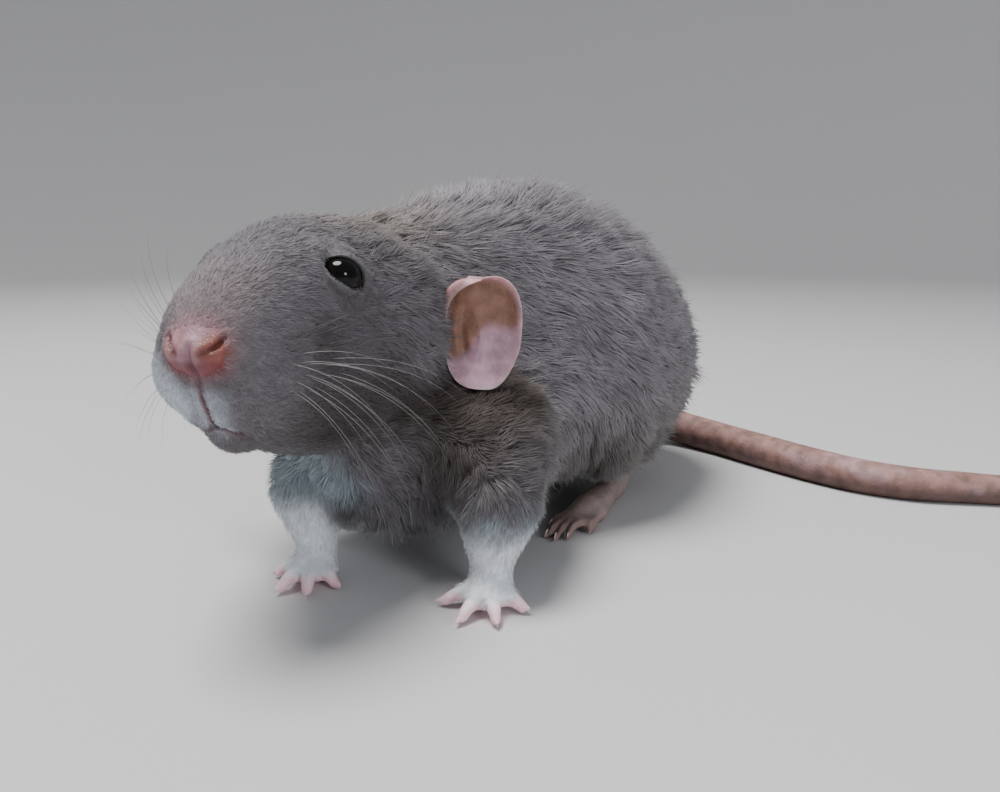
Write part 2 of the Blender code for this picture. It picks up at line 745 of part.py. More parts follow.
def main():
    """Model the whole rat and part it into its nodes."""
    trunk = fuse("trunk_masses", trunk_masses(), BODY_VOXEL, 24)
    body = fuse("body", [trunk] + leg_limbs(), BODY_VOXEL, 6)
    masses = fuse("head_masses", head_masses(), HEAD_VOXEL, 30)
    head = fuse("head", [masses] + head_details(), HEAD_VOXEL, 3)
    keep_side(head, in_head(HEAD_END + 4.0, 0, 0), -HEAD_AHEAD)
    thin_out(head, HEAD_FACES)
    keep_side(head, in_head(HEAD_END, 0, 0), -HEAD_AHEAD)
    clear_of_head = thin_out(grown(head, CUTTER_GROWTH, "head_wide"), CUTTER_FACES)
    thin_out(body, BODY_FACES)
    part_head(body, clear_of_head)

    for side, sign in SIDES:
        out, _, _ = eye_axes(sign)
        place = in_head(EYE_PLACE[0], sign * EYE_PLACE[1], EYE_PLACE[2])
        socket = ball("socket", place, [EYE_RADIUS + GAP] * 3, sides=16)
        combine(head, socket, "DIFFERENCE")
        drop(socket)
        hand_over(ball("eye", place, [EYE_RADIUS] * 3, sides=14), "eye_" + side, "eye")
    cut_mouth(head)

    clear_of_body = thin_out(grown(body, CUTTER_GROWTH, "body_wide"), CUTTER_FACES)
    for side, sign in SIDES:
        cup = ear(side, sign)
        combine(cup, clear_of_head, "DIFFERENCE")
        combine(cup, clear_of_body, "DIFFERENCE")
        hand_over(cup, "ear_" + side, "ear_skin")
    drop(clear_of_head, clear_of_body)

    for leg, node in part_legs(body):
        hand_over(leg, node, "coat")
    for side, sign in SIDES:
        hand_over(forepaw(side, sign), "forepaw_" + side, "skin")
        hand_over(hindfoot(side, sign), "hindfoot_" + side, "skin")

    ends = [0.0, 0.28, 0.54, 0.78, 1.0]
    for name, low, high in zip(TAIL_NODES, ends, ends[1:]):
        length = tail_length(low, high)
        if low == 0.0:
            wider = grown(length, GAP, "tail_wide")
            combine(body, wider, "DIFFERENCE")
            drop(wider)
        hand_over(length, name, "tail_skin")

    neck = copy_of(body, "neck")
    keep_side(neck, (0, NECK_END - GAP / 2, 0), (0, -1, 0))
    keep_side(body, (0, NECK_END + GAP / 2, 0), (0, 1, 0))
    hand_over(neck, "neck", "coat")
    hand_over(head, "head", "coat")
    hand_over(body, "torso", "coat")
    shift = Matrix.Translation(-Vector(MIDDLE) * MM)
    for node in RAT.objects:
        node.data.transform(shift)
        node.data.update()


clear_scene()
RAT = new_collection("pet_rat")
WORKSHOP = new_collection("workshop")
HEAD = head_frame()
HEAD_AHEAD = HEAD.to_3x3() @ Vector((0.0, 1.0, 0.0))
main()
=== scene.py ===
"""Looks of the pet rat: one skin, its plush coat, bare ears, feet and tail, eyes and whiskers.

Everything is placed in the rat's own measure: millimetres, with the tip of the nose over
y = 0, the midline on x = 0 and the soles on z = 0. RatMeasure turns it into the frame's metres.
"""

import logging
import math
from dataclasses import dataclass, field
from enum import Enum

import bmesh
import bpy
import numpy as np
from mathutils import Matrix, Vector
from mathutils.bvhtree import BVHTree
from mathutils.kdtree import KDTree


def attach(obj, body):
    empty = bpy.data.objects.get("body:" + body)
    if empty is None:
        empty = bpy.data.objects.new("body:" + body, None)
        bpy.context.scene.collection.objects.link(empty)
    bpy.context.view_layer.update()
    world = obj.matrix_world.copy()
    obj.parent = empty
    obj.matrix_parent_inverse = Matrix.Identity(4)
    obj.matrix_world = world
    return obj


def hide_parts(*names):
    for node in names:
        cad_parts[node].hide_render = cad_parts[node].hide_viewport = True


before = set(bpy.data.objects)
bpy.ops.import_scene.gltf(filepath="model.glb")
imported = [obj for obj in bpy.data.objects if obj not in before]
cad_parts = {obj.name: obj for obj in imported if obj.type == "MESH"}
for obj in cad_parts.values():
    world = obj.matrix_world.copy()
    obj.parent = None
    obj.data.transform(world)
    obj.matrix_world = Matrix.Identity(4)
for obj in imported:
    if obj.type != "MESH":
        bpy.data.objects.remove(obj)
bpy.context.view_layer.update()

log = logging.getLogger("rat")
MM = 0.001
Colour = tuple[float, float, float]
Spot = tuple[float, float, float]
Pairs = tuple[tuple[float, float], ...]


class Side(Enum):
    """The rat's own two sides, as the sign of x."""

    LEFT = 1
    RIGHT = -1


class Bare(Enum):
    """Kinds of surface on the one skin, as the numbers of its material slots."""

    FURRED = 0
    FOOT = 1
    NOSE = 2
    EAR = 3
    TAIL = 4
    LID = 5


# Small numeric tools


def ease(low: float, high: float, value: np.ndarray) -> np.ndarray:
    """Smooth step from 0 at low to 1 at high."""
    share = np.clip((value - low) / (high - low), 0.0, 1.0)
    return share * share * (3.0 - 2.0 * share)


def unit(rows: np.ndarray) -> np.ndarray:
    """Rows scaled to length one."""
    return rows / np.maximum(np.linalg.norm(rows, axis=1, keepdims=True), 1e-9)


def ripple(points: np.ndarray, scale: float, seed: int) -> np.ndarray:
    """Smooth noise of about -1 to 1, as a sum of waves.

    Args:
        points: Places in millimetres.
        scale: Size of the larger blotches, in millimetres.
        seed: Seed of the waves' directions.

    Returns:
        One value for each point.
    """
    rng = np.random.default_rng(seed)
    total = np.zeros(len(points))
    for _ in range(8):
        way = rng.normal(size=3)
        way *= 2.0 * math.pi / scale * rng.uniform(0.6, 1.7) / np.linalg.norm(way)
        total += np.sin(points @ way + rng.uniform(0.0, 6.28))
    return total / 3.2


def blob(points: np.ndarray, centre: Spot, radii: Spot, soft: float = 0.5) -> np.ndarray:
    """Mask that is 1 inside an ellipsoid and fades to 0 just outside it.

    Args:
        points: Places to judge.
        centre: Middle of the ellipsoid.
        radii: Its three radii.
        soft: Share of the radius over which the mask fades.

    Returns:
        One value from 0 to 1 for each point.
    """
    away = np.linalg.norm((points - np.array(centre)) / np.array(radii), axis=1)
    return 1.0 - ease(1.0 - soft / 2, 1.0 + soft / 2, away)


def mixed(base: np.ndarray, colour: Colour, mask: np.ndarray) -> np.ndarray:
    """Colours moved towards one colour by a mask."""
    return base + (np.array(colour) - base) * np.clip(mask, 0.0, 1.0)[:, None]


def curve(rows: Pairs, value: np.ndarray) -> np.ndarray:
    """Value read off straight lines between pairs of place and value."""
    return np.interp(value, *zip(*rows))


def groove(away: np.ndarray, width: float) -> np.ndarray:
    """1 on a line and fading to 0 beside it, by the distance from the line."""
    return np.exp(-(away / width) ** 2)


def spline(stations: tuple[tuple[float, ...], ...], share: float) -> tuple[float, ...]:
    """Smooth value along a row of tuples.

    Args:
        stations: Rows that the curve passes through.
        share: Place along it, from 0 to 1.

    Returns:
        One row of values.
    """
    last = len(stations) - 1
    place = min(max(share, 0.0), 1.0) * last
    i = min(int(place), last - 1)
    u = place - i
    rows = (stations[max(i - 1, 0)], stations[i], stations[i + 1], stations[min(i + 2, last)])
    return tuple(0.5 * (2 * b + (c - a) * u + (2 * a - 5 * b + 4 * c - d) * u * u
                        + (3 * b - 3 * c + d - a) * u ** 3) for a, b, c, d in zip(*rows))


def path_distance(points: np.ndarray, path: np.ndarray) -> np.ndarray:
    """Distance of every point from a polyline.

    Args:
        points: Places to judge.
        path: Corners of the polyline.

    Returns:
        One distance for each point.
    """
    best = np.full(len(points), 1e9)
    for start, end in zip(path, path[1:]):
        along = end - start
        share = np.clip((points - start) @ along / max(along @ along, 1e-9), 0.0, 1.0)
        best = np.minimum(best, np.linalg.norm(points - start - share[:, None] * along, axis=1))
    return best


@dataclass(frozen=True)
class Marking:
    """Soft ellipsoid that takes on a colour.

    Attributes:
        centre: Its middle.
        radii: Its three radii.
        soft: Share of the radius over which it fades.
        colour: The colour that it takes on.
        strength: How much of the colour it takes on, 0 to 1.
    """

    centre: Spot
    radii: Spot
    soft: float
    colour: Colour
    strength: float = 1.0

    def paint(self, base: np.ndarray, points: np.ndarray, flip: int = 1) -> np.ndarray:
        """Colours with the marking on them, mirrored where flip is -1."""
        centre = (self.centre[0] * flip, *self.centre[1:])
        return mixed(base, self.colour, blob(points, centre, self.radii, self.soft) * self.strength)


@dataclass(frozen=True)
class RatMeasure:
    """Places in the rat's own millimetres, and in its head's, turned into the frame's metres."""

    middle: Spot = (57.8, 78.3, 0.0)
    nose: Spot = (-8.0, 0.0, 47.0)
    yaw: float = math.radians(10.0)

    def row(self, points: np.ndarray) -> np.ndarray:
        """Metres in the frame, from the rat's millimetres."""
        return (np.asarray(points, float) - self.middle) * MM

    def rat(self, points: np.ndarray) -> np.ndarray:
        """The rat's millimetres, from metres in the frame."""
        return np.asarray(points, float) / MM + self.middle

    def turn(self) -> np.ndarray:
        """Matrix that turns the head's directions into the rat's."""
        c, s = math.cos(self.yaw), math.sin(self.yaw)
        return np.array(((c, -s, 0.0), (s, c, 0.0), (0.0, 0.0, 1.0)))

    def head(self, points: np.ndarray) -> np.ndarray:
        """Side, back and up from the nose, from the rat's millimetres."""
        return (np.asarray(points, float) - self.nose) @ self.turn()

    def from_head(self, points: np.ndarray) -> np.ndarray:
        """The rat's millimetres, from side, back and up of the nose."""
        return np.asarray(points, float) @ self.turn().T + self.nose


RAT = RatMeasure()


@dataclass
class Shell:
    """One surface of the skin before it is joined: points, faces, slot and tint.

    Faces are rows of four corners; a triangle has -1 as its fourth.
    """

    points: np.ndarray
    faces: np.ndarray
    slot: np.ndarray
    tint: np.ndarray


def build_mesh(name: str, points: np.ndarray, faces: np.ndarray) -> bpy.types.Mesh:
    """Mesh from points in metres and faces of three or four corners.

    Args:
        name: Name of the mesh.
        points: Rows of x, y, z.
        faces: Rows of corners, with -1 in place of a triangle's fourth.

    Returns:
        The smooth-shaded mesh.
    """
    data = bpy.data.meshes.new(name)
    sizes = np.full(len(faces), faces.shape[1])
    if faces.shape[1] == 4:
        sizes[faces[:, 3] < 0] = 3
    corners = faces.ravel()[faces.ravel() >= 0]
    data.vertices.add(len(points))
    data.vertices.foreach_set("co", np.asarray(points, np.float32).ravel())
    data.loops.add(len(corners))
    data.loops.foreach_set("vertex_index", corners.astype(np.int32))
    data.polygons.add(len(faces))
    starts = np.concatenate(([0], np.cumsum(sizes)[:-1])).astype(np.int32)
    data.polygons.foreach_set("loop_start", starts)
    data.update(calc_edges=True)
    data.validate()
    data.shade_smooth()
    return data


def add_tint(data: bpy.types.Mesh, tint: np.ndarray) -> None:
    """Store a colour on every point of a mesh.

    Args:
        data: The mesh.
        tint: Red, green and blue for each point.
    """
    layer = data.color_attributes.new("tint", "FLOAT_COLOR", "POINT")
    rgba = np.ones((len(tint), 4), np.float32)
    rgba[:, :3] = tint
    layer.data.foreach_set("color", rgba.ravel())


def read(rows: bpy.types.bpy_prop_collection, name: str, width: int,
         kind: type = float) -> np.ndarray:
    """Read one property of many points, corners or faces.

    Args:
        rows: What is read.
        name: Name of the property.
        width: How many numbers each value has.
        kind: Type of the numbers.

    Returns:
        One row for each value, or one number for each where width is 1.
    """
    found = np.empty(len(rows) * width, kind)
    rows.foreach_get(name, found)
    return found.reshape(-1, width) if width > 1 else found


def link(name: str, data: bpy.types.ID) -> bpy.types.Object:
    """Make an object of its data and put it in the scene."""
    made = bpy.data.objects.new(name, data)
    bpy.context.scene.collection.objects.link(made)
    return made


def aimed(direction: Vector, spot: Vector) -> Matrix:
    """Matrix of a camera or lamp at a spot that looks in a direction."""
    return Matrix.Translation(spot) @ direction.to_track_quat("-Z", "Y").to_matrix().to_4x4()


def place(name: str, data: bpy.types.Mesh, materials: list[bpy.types.Material],
          slot: str) -> bpy.types.Object:
    """Put a mesh in the scene as a piece that rides on the frame's one body.

    Args:
        name: Name of the piece.
        data: Its mesh, in metres.
        materials: Its material slots.
        slot: Not used; the record's slot that its finish stands for.

    Returns:
        The new object.
    """
    piece = link(name, data)
    for material in materials:
        data.materials.append(material)
    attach(piece, "root")
    log.info("%s: %d triangles", name, len(data.loops) - 2 * len(data.polygons))
    return piece


def grid(rows: int, columns: int) -> np.ndarray:
    """Quads between rings of points that lie row after row.

    Args:
        rows: Number of rings.
        columns: Points in one ring.

    Returns:
        Four corners for each quad.
    """
    i = np.arange(rows - 1)[:, None] * columns
    j = np.arange(columns)[None, :]
    k = (j + 1) % columns
    return np.stack((i + j, i + columns + j, i + columns + k, i + k), axis=2).reshape(-1, 4)


def joined(parts: list[tuple[np.ndarray, np.ndarray]]) -> tuple[np.ndarray, np.ndarray]:
    """Put several surfaces together as one.

    Args:
        parts: Points and faces of each surface.

    Returns:
        All points and all faces.
    """
    starts = np.cumsum([0] + [len(points) for points, _ in parts])
    faces = [np.where(own < 0, -1, own + start) for (_, own), start in zip(parts, starts)]
    return np.vstack([points for points, _ in parts]), np.vstack(faces)


def tube(stations: np.ndarray, sides: int, flat: float = 1.0,
         up: Spot = (0.0, 0.0, 1.0)) -> tuple[np.ndarray, np.ndarray]:
    """Round tube through stations of x, y, z and radius, closed at both ends.

    Args:
        stations: Rows of x, y, z, radius.
        sides: Corners in one ring.
        flat: Height of a ring as a share of its width.
        up: Direction that each ring's height leans to.

    Returns:
        Points and faces.
    """
    centre, radius = stations[:, :3], stations[:, 3]
    ahead = unit(np.gradient(centre, axis=0))
    side = unit(np.cross(ahead, np.array(up)))
    rise = np.cross(side, ahead)
    angle = np.arange(sides) * 2.0 * math.pi / sides
    ring = (side[:, None, :] * np.cos(angle)[None, :, None]
            + rise[:, None, :] * (flat * np.sin(angle))[None, :, None])
    points = (centre[:, None, :] + ring * radius[:, None, None]).reshape(-1, 3)
    points = np.vstack((points, centre[:1], centre[-1:]))
    first = len(stations) * sides
    top = first - sides
    j = np.arange(sides)
    k = (j + 1) % sides
    none = np.full(sides, -1)
    low = np.stack((j, k, np.full(sides, first), none), axis=1)
    high = np.stack((top + k, top + j, np.full(sides, first + 1), none), axis=1)
    return points, np.vstack((grid(len(stations), sides), low, high))


# Where the animal's features are, and what its coat does there


@dataclass(frozen=True)
class Eyes:
    """Two glossy dark eyes, with the ring that the lids follow."""

    radius: float = 3.45
    back: float = 21.6
    side: float = 10.2
    up: float = 8.6
    tilt: float = math.radians(41.0)
    lid_long: float = math.radians(80.0)
    lid_high: float = math.radians(34.0)
    pinch: float = 0.35
    gaze: Spot = (0.76, -0.53, 0.37)
    dome: float = 0.28
    dome_from: float = 0.62

    def centre(self, side: Side) -> np.ndarray:
        """Middle of one eye in the rat's millimetres."""
        return RAT.from_head(np.array((side.value * self.side, self.back, self.up)))

    def axes(self, side: Side) -> tuple[np.ndarray, np.ndarray, np.ndarray]:
        """Directions of one eye.

        Args:
            side: Which eye.

        Returns:
            Directions out of the head, back along the lids and up across them.
        """
        out = np.array((side.value * self.gaze[0], *self.gaze[1:]))
        out /= np.linalg.norm(out)
        back = np.array((0.0, math.cos(self.tilt), -math.sin(self.tilt)))
        along = back - out * (back @ out)
        along /= np.linalg.norm(along)
        across = np.cross(out, along) * -side.value
        across *= 1.0 if across[2] > 0 else -1.0
        turn = RAT.turn()
        return turn @ out, turn @ along, turn @ across

    def ring(self, side: Side, radius: float, wider: float, count: int) -> np.ndarray:
        """Loop over the eye that the lids' edge follows.

        Args:
            side: Which eye.
            radius: Distance from the eye's middle.
            wider: Degrees by which the loop opens beyond the lids' edge.
            count: Points in the loop.

        Returns:
            Places in the rat's millimetres.
        """
        out, along, across = self.axes(side)
        angle = np.arange(count) * 2.0 * math.pi / count
        c, s = np.cos(angle), np.sin(angle)
        flat = math.sin(self.lid_long) * c
        high = math.sin(self.lid_high) * s * (1.0 - self.pinch * c ** 4)
        reach = np.hypot(flat, high)
        spread = np.arcsin(reach) + math.radians(wider)
        rim = (along * flat[:, None] + across * high[:, None]) / reach[:, None]
        spot = out * np.cos(spread)[:, None] + rim * np.sin(spread)[:, None]
        return self.centre(side) + spot * radius

    def beyond(self, points: np.ndarray, side: Side) -> tuple[np.ndarray, np.ndarray]:
        """Degrees by which points lie beyond the edge of the lids, and their distance.

        Args:
            points: Places in the rat's millimetres.
            side: Which eye.

        Returns:
            Degrees from the lids' edge, less than 0 over the eye, and millimetres from its middle.
        """
        out, along, across = self.axes(side)
        gap = points - self.centre(side)
        away = np.maximum(np.linalg.norm(gap, axis=1), 1e-6)
        x, y, z = (gap @ axis / away for axis in (along, across, out))
        reach = np.maximum(np.hypot(x, y), 1e-6)
        c, s = x / reach, y / reach
        wide, high = math.sin(self.lid_long), math.sin(self.lid_high)
        edge = 1.0 / np.hypot(c / wide, s / high)
        high = high * (1.0 - self.pinch * np.clip(c * edge / wide, -1, 1) ** 4)
        edge = 1.0 / np.hypot(c / wide, s / high)
        opening = np.arcsin(np.clip(edge, 0.0, 1.0))
        return np.degrees(np.arccos(np.clip(z, -1.0, 1.0)) - opening), away

    def build(self, finish: "EyeFinish") -> None:
        """Make both eyes as smooth balls with a slightly domed front.

        Args:
            finish: How the eyes look.
        """
        for side in Side:
            out, _, _ = self.axes(side)
            shape = bmesh.new()
            bmesh.ops.create_icosphere(shape, subdivisions=5, radius=self.radius)
            data = bpy.data.meshes.new("eye")
            shape.to_mesh(data)
            shape.free()
            points = read(data.vertices, "co", 3)
            front = ease(self.dome_from, 1.0, (points @ out) / self.radius)
            points = self.centre(side) + points + out * (front * self.dome)[:, None]
            data.vertices.foreach_set("co", RAT.row(points).astype(np.float32).ravel())
            data.shade_smooth()
            name = "eye_" + side.name.lower()
            piece = place("glossy_" + name, data, [finish.material()], "eye")
            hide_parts(name)


EYES = Eyes()


@dataclass(frozen=True)
class Legs:
    """Where the feet stand and how their toes spread, as in the solids."""

    fore_x: float = 16.8
    fore_y: tuple[float, float] = (33.5, 29.5)
    hind_x: float = 19.5
    hind_toe: float = 66.0
    hind_heel: float = 104.5
    toe_half: float = 1.05
    palm: float = 4.3
    gathered: float = 0.45
    inward: float = 2.6
    fore_left: Pairs = ((-65.0, 8.4), (-9.0, 8.6), (36.0, 8.2), (90.0, 7.4))
    fore_right: Pairs = ((-70.0, 7.4), (-12.0, 8.4), (29.0, 8.2), (74.0, 7.6))
    hind_fan: tuple[tuple[float, float, float], ...] = (
        (-42.0, 7.0, -2.2), (-12.0, 11.6, -1.9), (0.0, 12.2, 0.0), (12.0, 11.4, 1.9),
        (44.0, 7.6, 2.4))

    def foot_mask(self, points: np.ndarray) -> np.ndarray:
        """Mask of the bare feet.

        Args:
            points: Places on the skin.

        Returns:
            1 on the feet and 0 above the wrists and ankles, for each point.
        """
        x, y, z = points.T
        mask = np.zeros(len(points))
        for side, paw_y in zip(Side, self.fore_y):
            near = np.hypot(x - side.value * self.fore_x, y - paw_y - 2.5)
            toes = np.maximum(ease(4.6, 6.0, near), ease(3.0, 2.0, z))
            mask = np.maximum(mask, ease(6.5, 5.0, z) * ease(13.5, 12.5, near) * toes)
            across = np.abs(x - side.value * self.hind_x)
            along = (y > self.hind_toe - 4) & (y < self.hind_heel + 1.5)
            mask = np.maximum(mask, (1 - ease(7.0, 9.2, z)) * (across < 11) * along)
        return mask

    def leg_mask(self, points: np.ndarray) -> np.ndarray:
        """Mask of the lower legs.

        Args:
            points: Places on the skin.

        Returns:
            1 on the lower legs, fading to 0 in the trunk, for each point.
        """
        x, y, z = points.T
        mask = np.zeros(len(points))
        for side, paw_y in zip(Side, self.fore_y):
            near = np.hypot(x - side.value * self.fore_x, (y - paw_y - 4.5) * 0.8)
            mask = np.maximum(mask, ease(25.0, 15.0, z) * ease(12.0, 8.0, near))
            near = np.hypot(x - side.value * self.hind_x, (y - self.hind_heel + 6) * 0.7)
            mask = np.maximum(mask, (1 - ease(10.0, 15.0, z)) * (1 - ease(7.0, 11.0, near)))
        return mask

    def toes(self) -> list[tuple[np.ndarray, np.ndarray, float]]:
        """List all toes.

        Returns:
            Middle of the foot, direction and reach of every toe.
        """
        found = []
        fans = (self.fore_left, self.fore_right)
        for side, paw_y, fan in zip(Side, self.fore_y, fans):
            middle = np.array((side.value * self.fore_x, paw_y + 2.5, 0.0))
            for angle, reach in fan:
                a = math.radians(angle)
                found.append((middle, np.array((math.sin(a), -math.cos(a), 0.0)), reach))
            for angle, reach, root in self.hind_fan:
                a = math.radians(angle) * side.value
                middle_hind = np.array((side.value * (self.hind_x + root), self.hind_toe + 13.0, 0))
                found.append((middle_hind, np.array((math.sin(a), -math.cos(a), 0.0)), reach))
        return found

    def gather(self, points: np.ndarray) -> np.ndarray:
        """Draw the hind toes together and a little inwards, as they rest under the body.

        Args:
            points: Places on the skin or on a claw.

        Returns:
            The places, moved where they belong to the front of a hind foot.
        """
        points = points.copy()
        for side in Side:
            across = points[:, 0] - side.value * self.hind_x
            share = ease(self.hind_toe + 17.0, self.hind_toe + 4.0, points[:, 1])
            share = share * (points[:, 1] > self.hind_toe - 5.0) * ease(8.5, 6.5, points[:, 2])
            share = share * ease(12.5, 11.0, np.abs(across))
            points[:, 0] -= (self.gathered * across + side.value * self.inward) * share
        return points

    def part_toes(self, points: np.ndarray) -> np.ndarray:
        """Deepen the gaps between the toes of the forefeet, so that each toe stands by itself.

        Args:
            points: Places on the skin.

        Returns:
            The places, with the webs between the toes drawn back towards the foot.
        """
        points = points.copy()
        for side, paw_y, fan in zip(Side, self.fore_y, (self.fore_left, self.fore_right)):
            middle = np.array((side.value * self.fore_x, paw_y + 2.5))
            gap = points[:, :2] - middle
            away = np.maximum(np.hypot(*gap.T), 1e-6)
            bearing = np.arctan2(gap[:, 0], -gap[:, 1])
            toes = np.radians([angle for angle, _ in fan])
            off = np.min(np.abs(bearing[:, None] - toes[None]), axis=1)
            beside = away * np.sin(np.minimum(off, math.pi / 2))
            excess = np.maximum(0.0, beside - self.toe_half)
            chosen = (away > self.palm) & (away < 11.0) & (points[:, 2] < 6.0) & (off < 0.7)
            new = np.maximum(away - 2.2 * excess, np.minimum(away, self.palm))
            points[:, :2] = np.where(chosen[:, None], middle + gap * (new / away)[:, None],
                                     points[:, :2])
        return points


LEGS = Legs()


@dataclass(frozen=True)
class Lips:
    """Lines of the split upper lip and of the mouth, in the head's own measure."""

    cleft: tuple[Spot, ...] = ((0.0, -1.9, 1.4), (0.0, -1.7, -0.6), (0.0, -0.6, -2.8), (0.0, 0.2, -4.6),
                    (-0.2, 1.6, -7.1), (-0.2, 2.7, -9.3), (0.0, 3.2, -10.5))
    mouth: tuple[Spot, ...] = ((0.0, 3.2, -10.5), (1.2, 3.8, -11.0), (2.4, 4.7, -11.5), (3.7, 6.1, -12.0),
                    (4.9, 7.9, -12.5), (5.6, 9.8, -12.6))

    def from_cleft(self, head: np.ndarray) -> np.ndarray:
        """Distance of points in the head's measure from the split of the upper lip."""
        return path_distance(head, np.array(self.cleft))

    def from_mouth(self, head: np.ndarray) -> np.ndarray:
        """Distance of points in the head's measure from the line of the mouth."""
        mirrored = np.abs(head[:, :1])
        near = path_distance(np.hstack((mirrored, head[:, 1:])), np.array(self.mouth))
        return near + 1.6 * ease(2.6, 5.0, mirrored[:, 0])


LIPS = Lips()


@dataclass(frozen=True)
class Coat:
    """Depth, length, lift, lie and colour of the coat anywhere on the animal.

    The tables by_back hold pairs of the distance back from the nose and the value there.
    """

    depth_by_back: Pairs = ((1, 0.0), (5, 0.25), (12, 0.8), (24, 1.3), (38, 2.2), (52, 3.5))
    length_by_back: Pairs = ((2, 0.9), (6, 1.6), (12, 2.5), (24, 3.6), (38, 5.4), (52, 6.6))
    lift_by_back: Pairs = ((2, 14.0), (10, 11.0), (25, 11.0), (38, 16.0), (45, 23.0), (60, 29.0))
    tone_by_back: Pairs = ((0, 0.75), (8, 0.72), (14, 0.66), (26, 0.67), (36, 0.79), (45, 0.88),
                           (60, 1.06))
    ear_fur_by_up: Pairs = ((-14.0, 0.8), (-11.0, 1.0), (-8.0, 0.9), (-4.0, 0.6), (-2.0, 0.6),
                            (1.0, 0.9), (6.0, 1.9), (10.0, 2.1))
    trunk: float = 60.0
    bare_pad: tuple[Spot, Spot] = ((0.0, -0.6, 0.4), (4.3, 3.4, 3.2))
    ear_front: tuple[Spot, Spot] = ((17.8, 37.4, -2.0), (7.0, 5.4, 17.0))
    under_ear: tuple[Spot, Spot] = ((24.5, 42.0, -17.5), (7.0, 6.0, 5.0))
    tail_root: Spot = (0.0, 143.0, 17.0)
    down: Spot = (0.0, 0.35, -1.0)
    leg_down: Spot = (0.0, 0.3, -1.0)
    grey: Colour = (0.232, 0.214, 0.235)
    dark: Colour = (0.070, 0.062, 0.066)
    white: Colour = (0.90, 0.95, 1.0)
    # White fur darkened by painted shade, on the chest and high on the forelegs.
    shaded_white: Colour = (0.285, 0.345, 0.38)
    lip: Colour = (0.66, 0.73, 0.82)
    belly: Colour = (0.33, 0.325, 0.335)
    nose_top: Colour = (0.225, 0.175, 0.185)
    # Painted shade under the chin.
    chin_shade: Colour = (0.14, 0.125, 0.135)
    eye_ring: Colour = (0.10, 0.075, 0.08)
    # How much painted shade darkens the low flanks.
    low_flank_shade: Colour = (0.38, 0.40, 0.47)
    shade_dim: Colour = (0.92, 0.98, 1.04)
    nape: Marking = Marking((-8.0, 42.0, 66.0), (13.0, 14.0, 7.0), 1.2, (0.215, 0.178, 0.145), 0.55)
    # Painted shade in the right armpit.
    armpit_shade: Marking = Marking((-10.5, 36.0, 14.0), (3.5, 6.5, 5.0), 0.9, dark, 0.8)
    blush: Marking = Marking((0.0, 0.0, 0.8), (5.4, 4.6, 4.6), 0.6, (0.33, 0.19, 0.21), 0.6)
    face_spots: tuple[Marking, ...] = (
        Marking((10.9, 14.0, -0.3), (3.4, 3.4, 4.4), 1.2, dark, 0.68),
        Marking((8.2, 12.0, -6.5), (2.5, 3.4, 2.5), 1.2, dark, 0.35),
        # Painted shade under the jaw; the two spots above are dark spots of the whisker pads.
        Marking((7.9, 18.9, -15.4), (3.6, 4.6, 3.2), 1.2, dark, 0.5),
    )
    chest: tuple[Spot, Spot] = ((-15.5, 29.0, 20.5), (9.5, 13.0, 6.8))
    cheek_shade: tuple[Spot, Spot] = ((11.0, 24.0, -12.0), (9.0, 16.0, 8.0))
    neck_shade: tuple[Spot, Spot] = ((11.0, 43.0, 29.0), (12.0, 12.0, 12.0))
    ear_shade: tuple[Spot, Spot] = ((9.5, 46.0, 34.5), (8.0, 9.0, 5.5))

    def round_eye(self, points: np.ndarray, eye: Side, low: float, high: float) -> np.ndarray:
        """Smooth step over the distance, in millimetres, from the ball of an eye."""
        away = np.linalg.norm(points - EYES.centre(eye), axis=1)
        return ease(EYES.radius + low, EYES.radius + high, away)

    def left_head(self, points: np.ndarray) -> np.ndarray:
        """Side, back and up from the nose, with the right side mirrored to the left."""
        head = RAT.head(points)
        head[:, 0] = np.abs(head[:, 0])
        return head

    def bare(self, points: np.ndarray) -> np.ndarray:
        """Mask of the nose pad, the lips' lines, the feet and the rims of the eyes.

        Args:
            points: Places on the skin.

        Returns:
            1 where no fur grows, for each point.
        """
        head = RAT.head(points)
        mask = np.maximum(blob(head, *self.bare_pad, 0.25), LEGS.foot_mask(points))
        mask = np.maximum(mask, ease(0.75, 0.55, LIPS.from_cleft(head)))
        mask = np.maximum(mask, ease(0.95, 0.75, LIPS.from_mouth(head)))
        for eye in Side:
            beyond, away = EYES.beyond(points, eye)
            mask = np.maximum(mask, ease(4.5, 2.5, beyond) * (away < EYES.radius + 2.0))
        return mask

    def face(self, points: np.ndarray) -> np.ndarray:
        """Distance back from the nose where the head is, and a large number on the trunk.

        Args:
            points: Places on the skin.

        Returns:
            One distance for each point.
        """
        _, back, up = RAT.head(points).T
        off = ease(-27.0, -33.0, up) * ease(14.0, 20.0, back)
        return np.where(back < self.trunk, back, self.trunk) + off * self.trunk

    def depth(self, points: np.ndarray) -> np.ndarray:
        """How far the skin lies under the coat's surface.

        Args:
            points: Places on the coat's surface.

        Returns:
            One depth in millimetres for each point.
        """
        deep = curve(self.depth_by_back, self.face(points))
        deep *= 1.0 - 1.05 * LEGS.leg_mask(points)
        for eye in Side:
            deep *= 0.35 + 0.65 * self.round_eye(points, eye, 1.0, 5.0)
        return deep * (1.0 - LEGS.foot_mask(points))

    def ear_edge(self, head: np.ndarray) -> np.ndarray:
        """Strength with which cheek fur stands up over the front edge of an ear, most at its top."""
        return curve(self.ear_fur_by_up, head[:, 2]) * blob(head, *self.ear_front, 0.6)

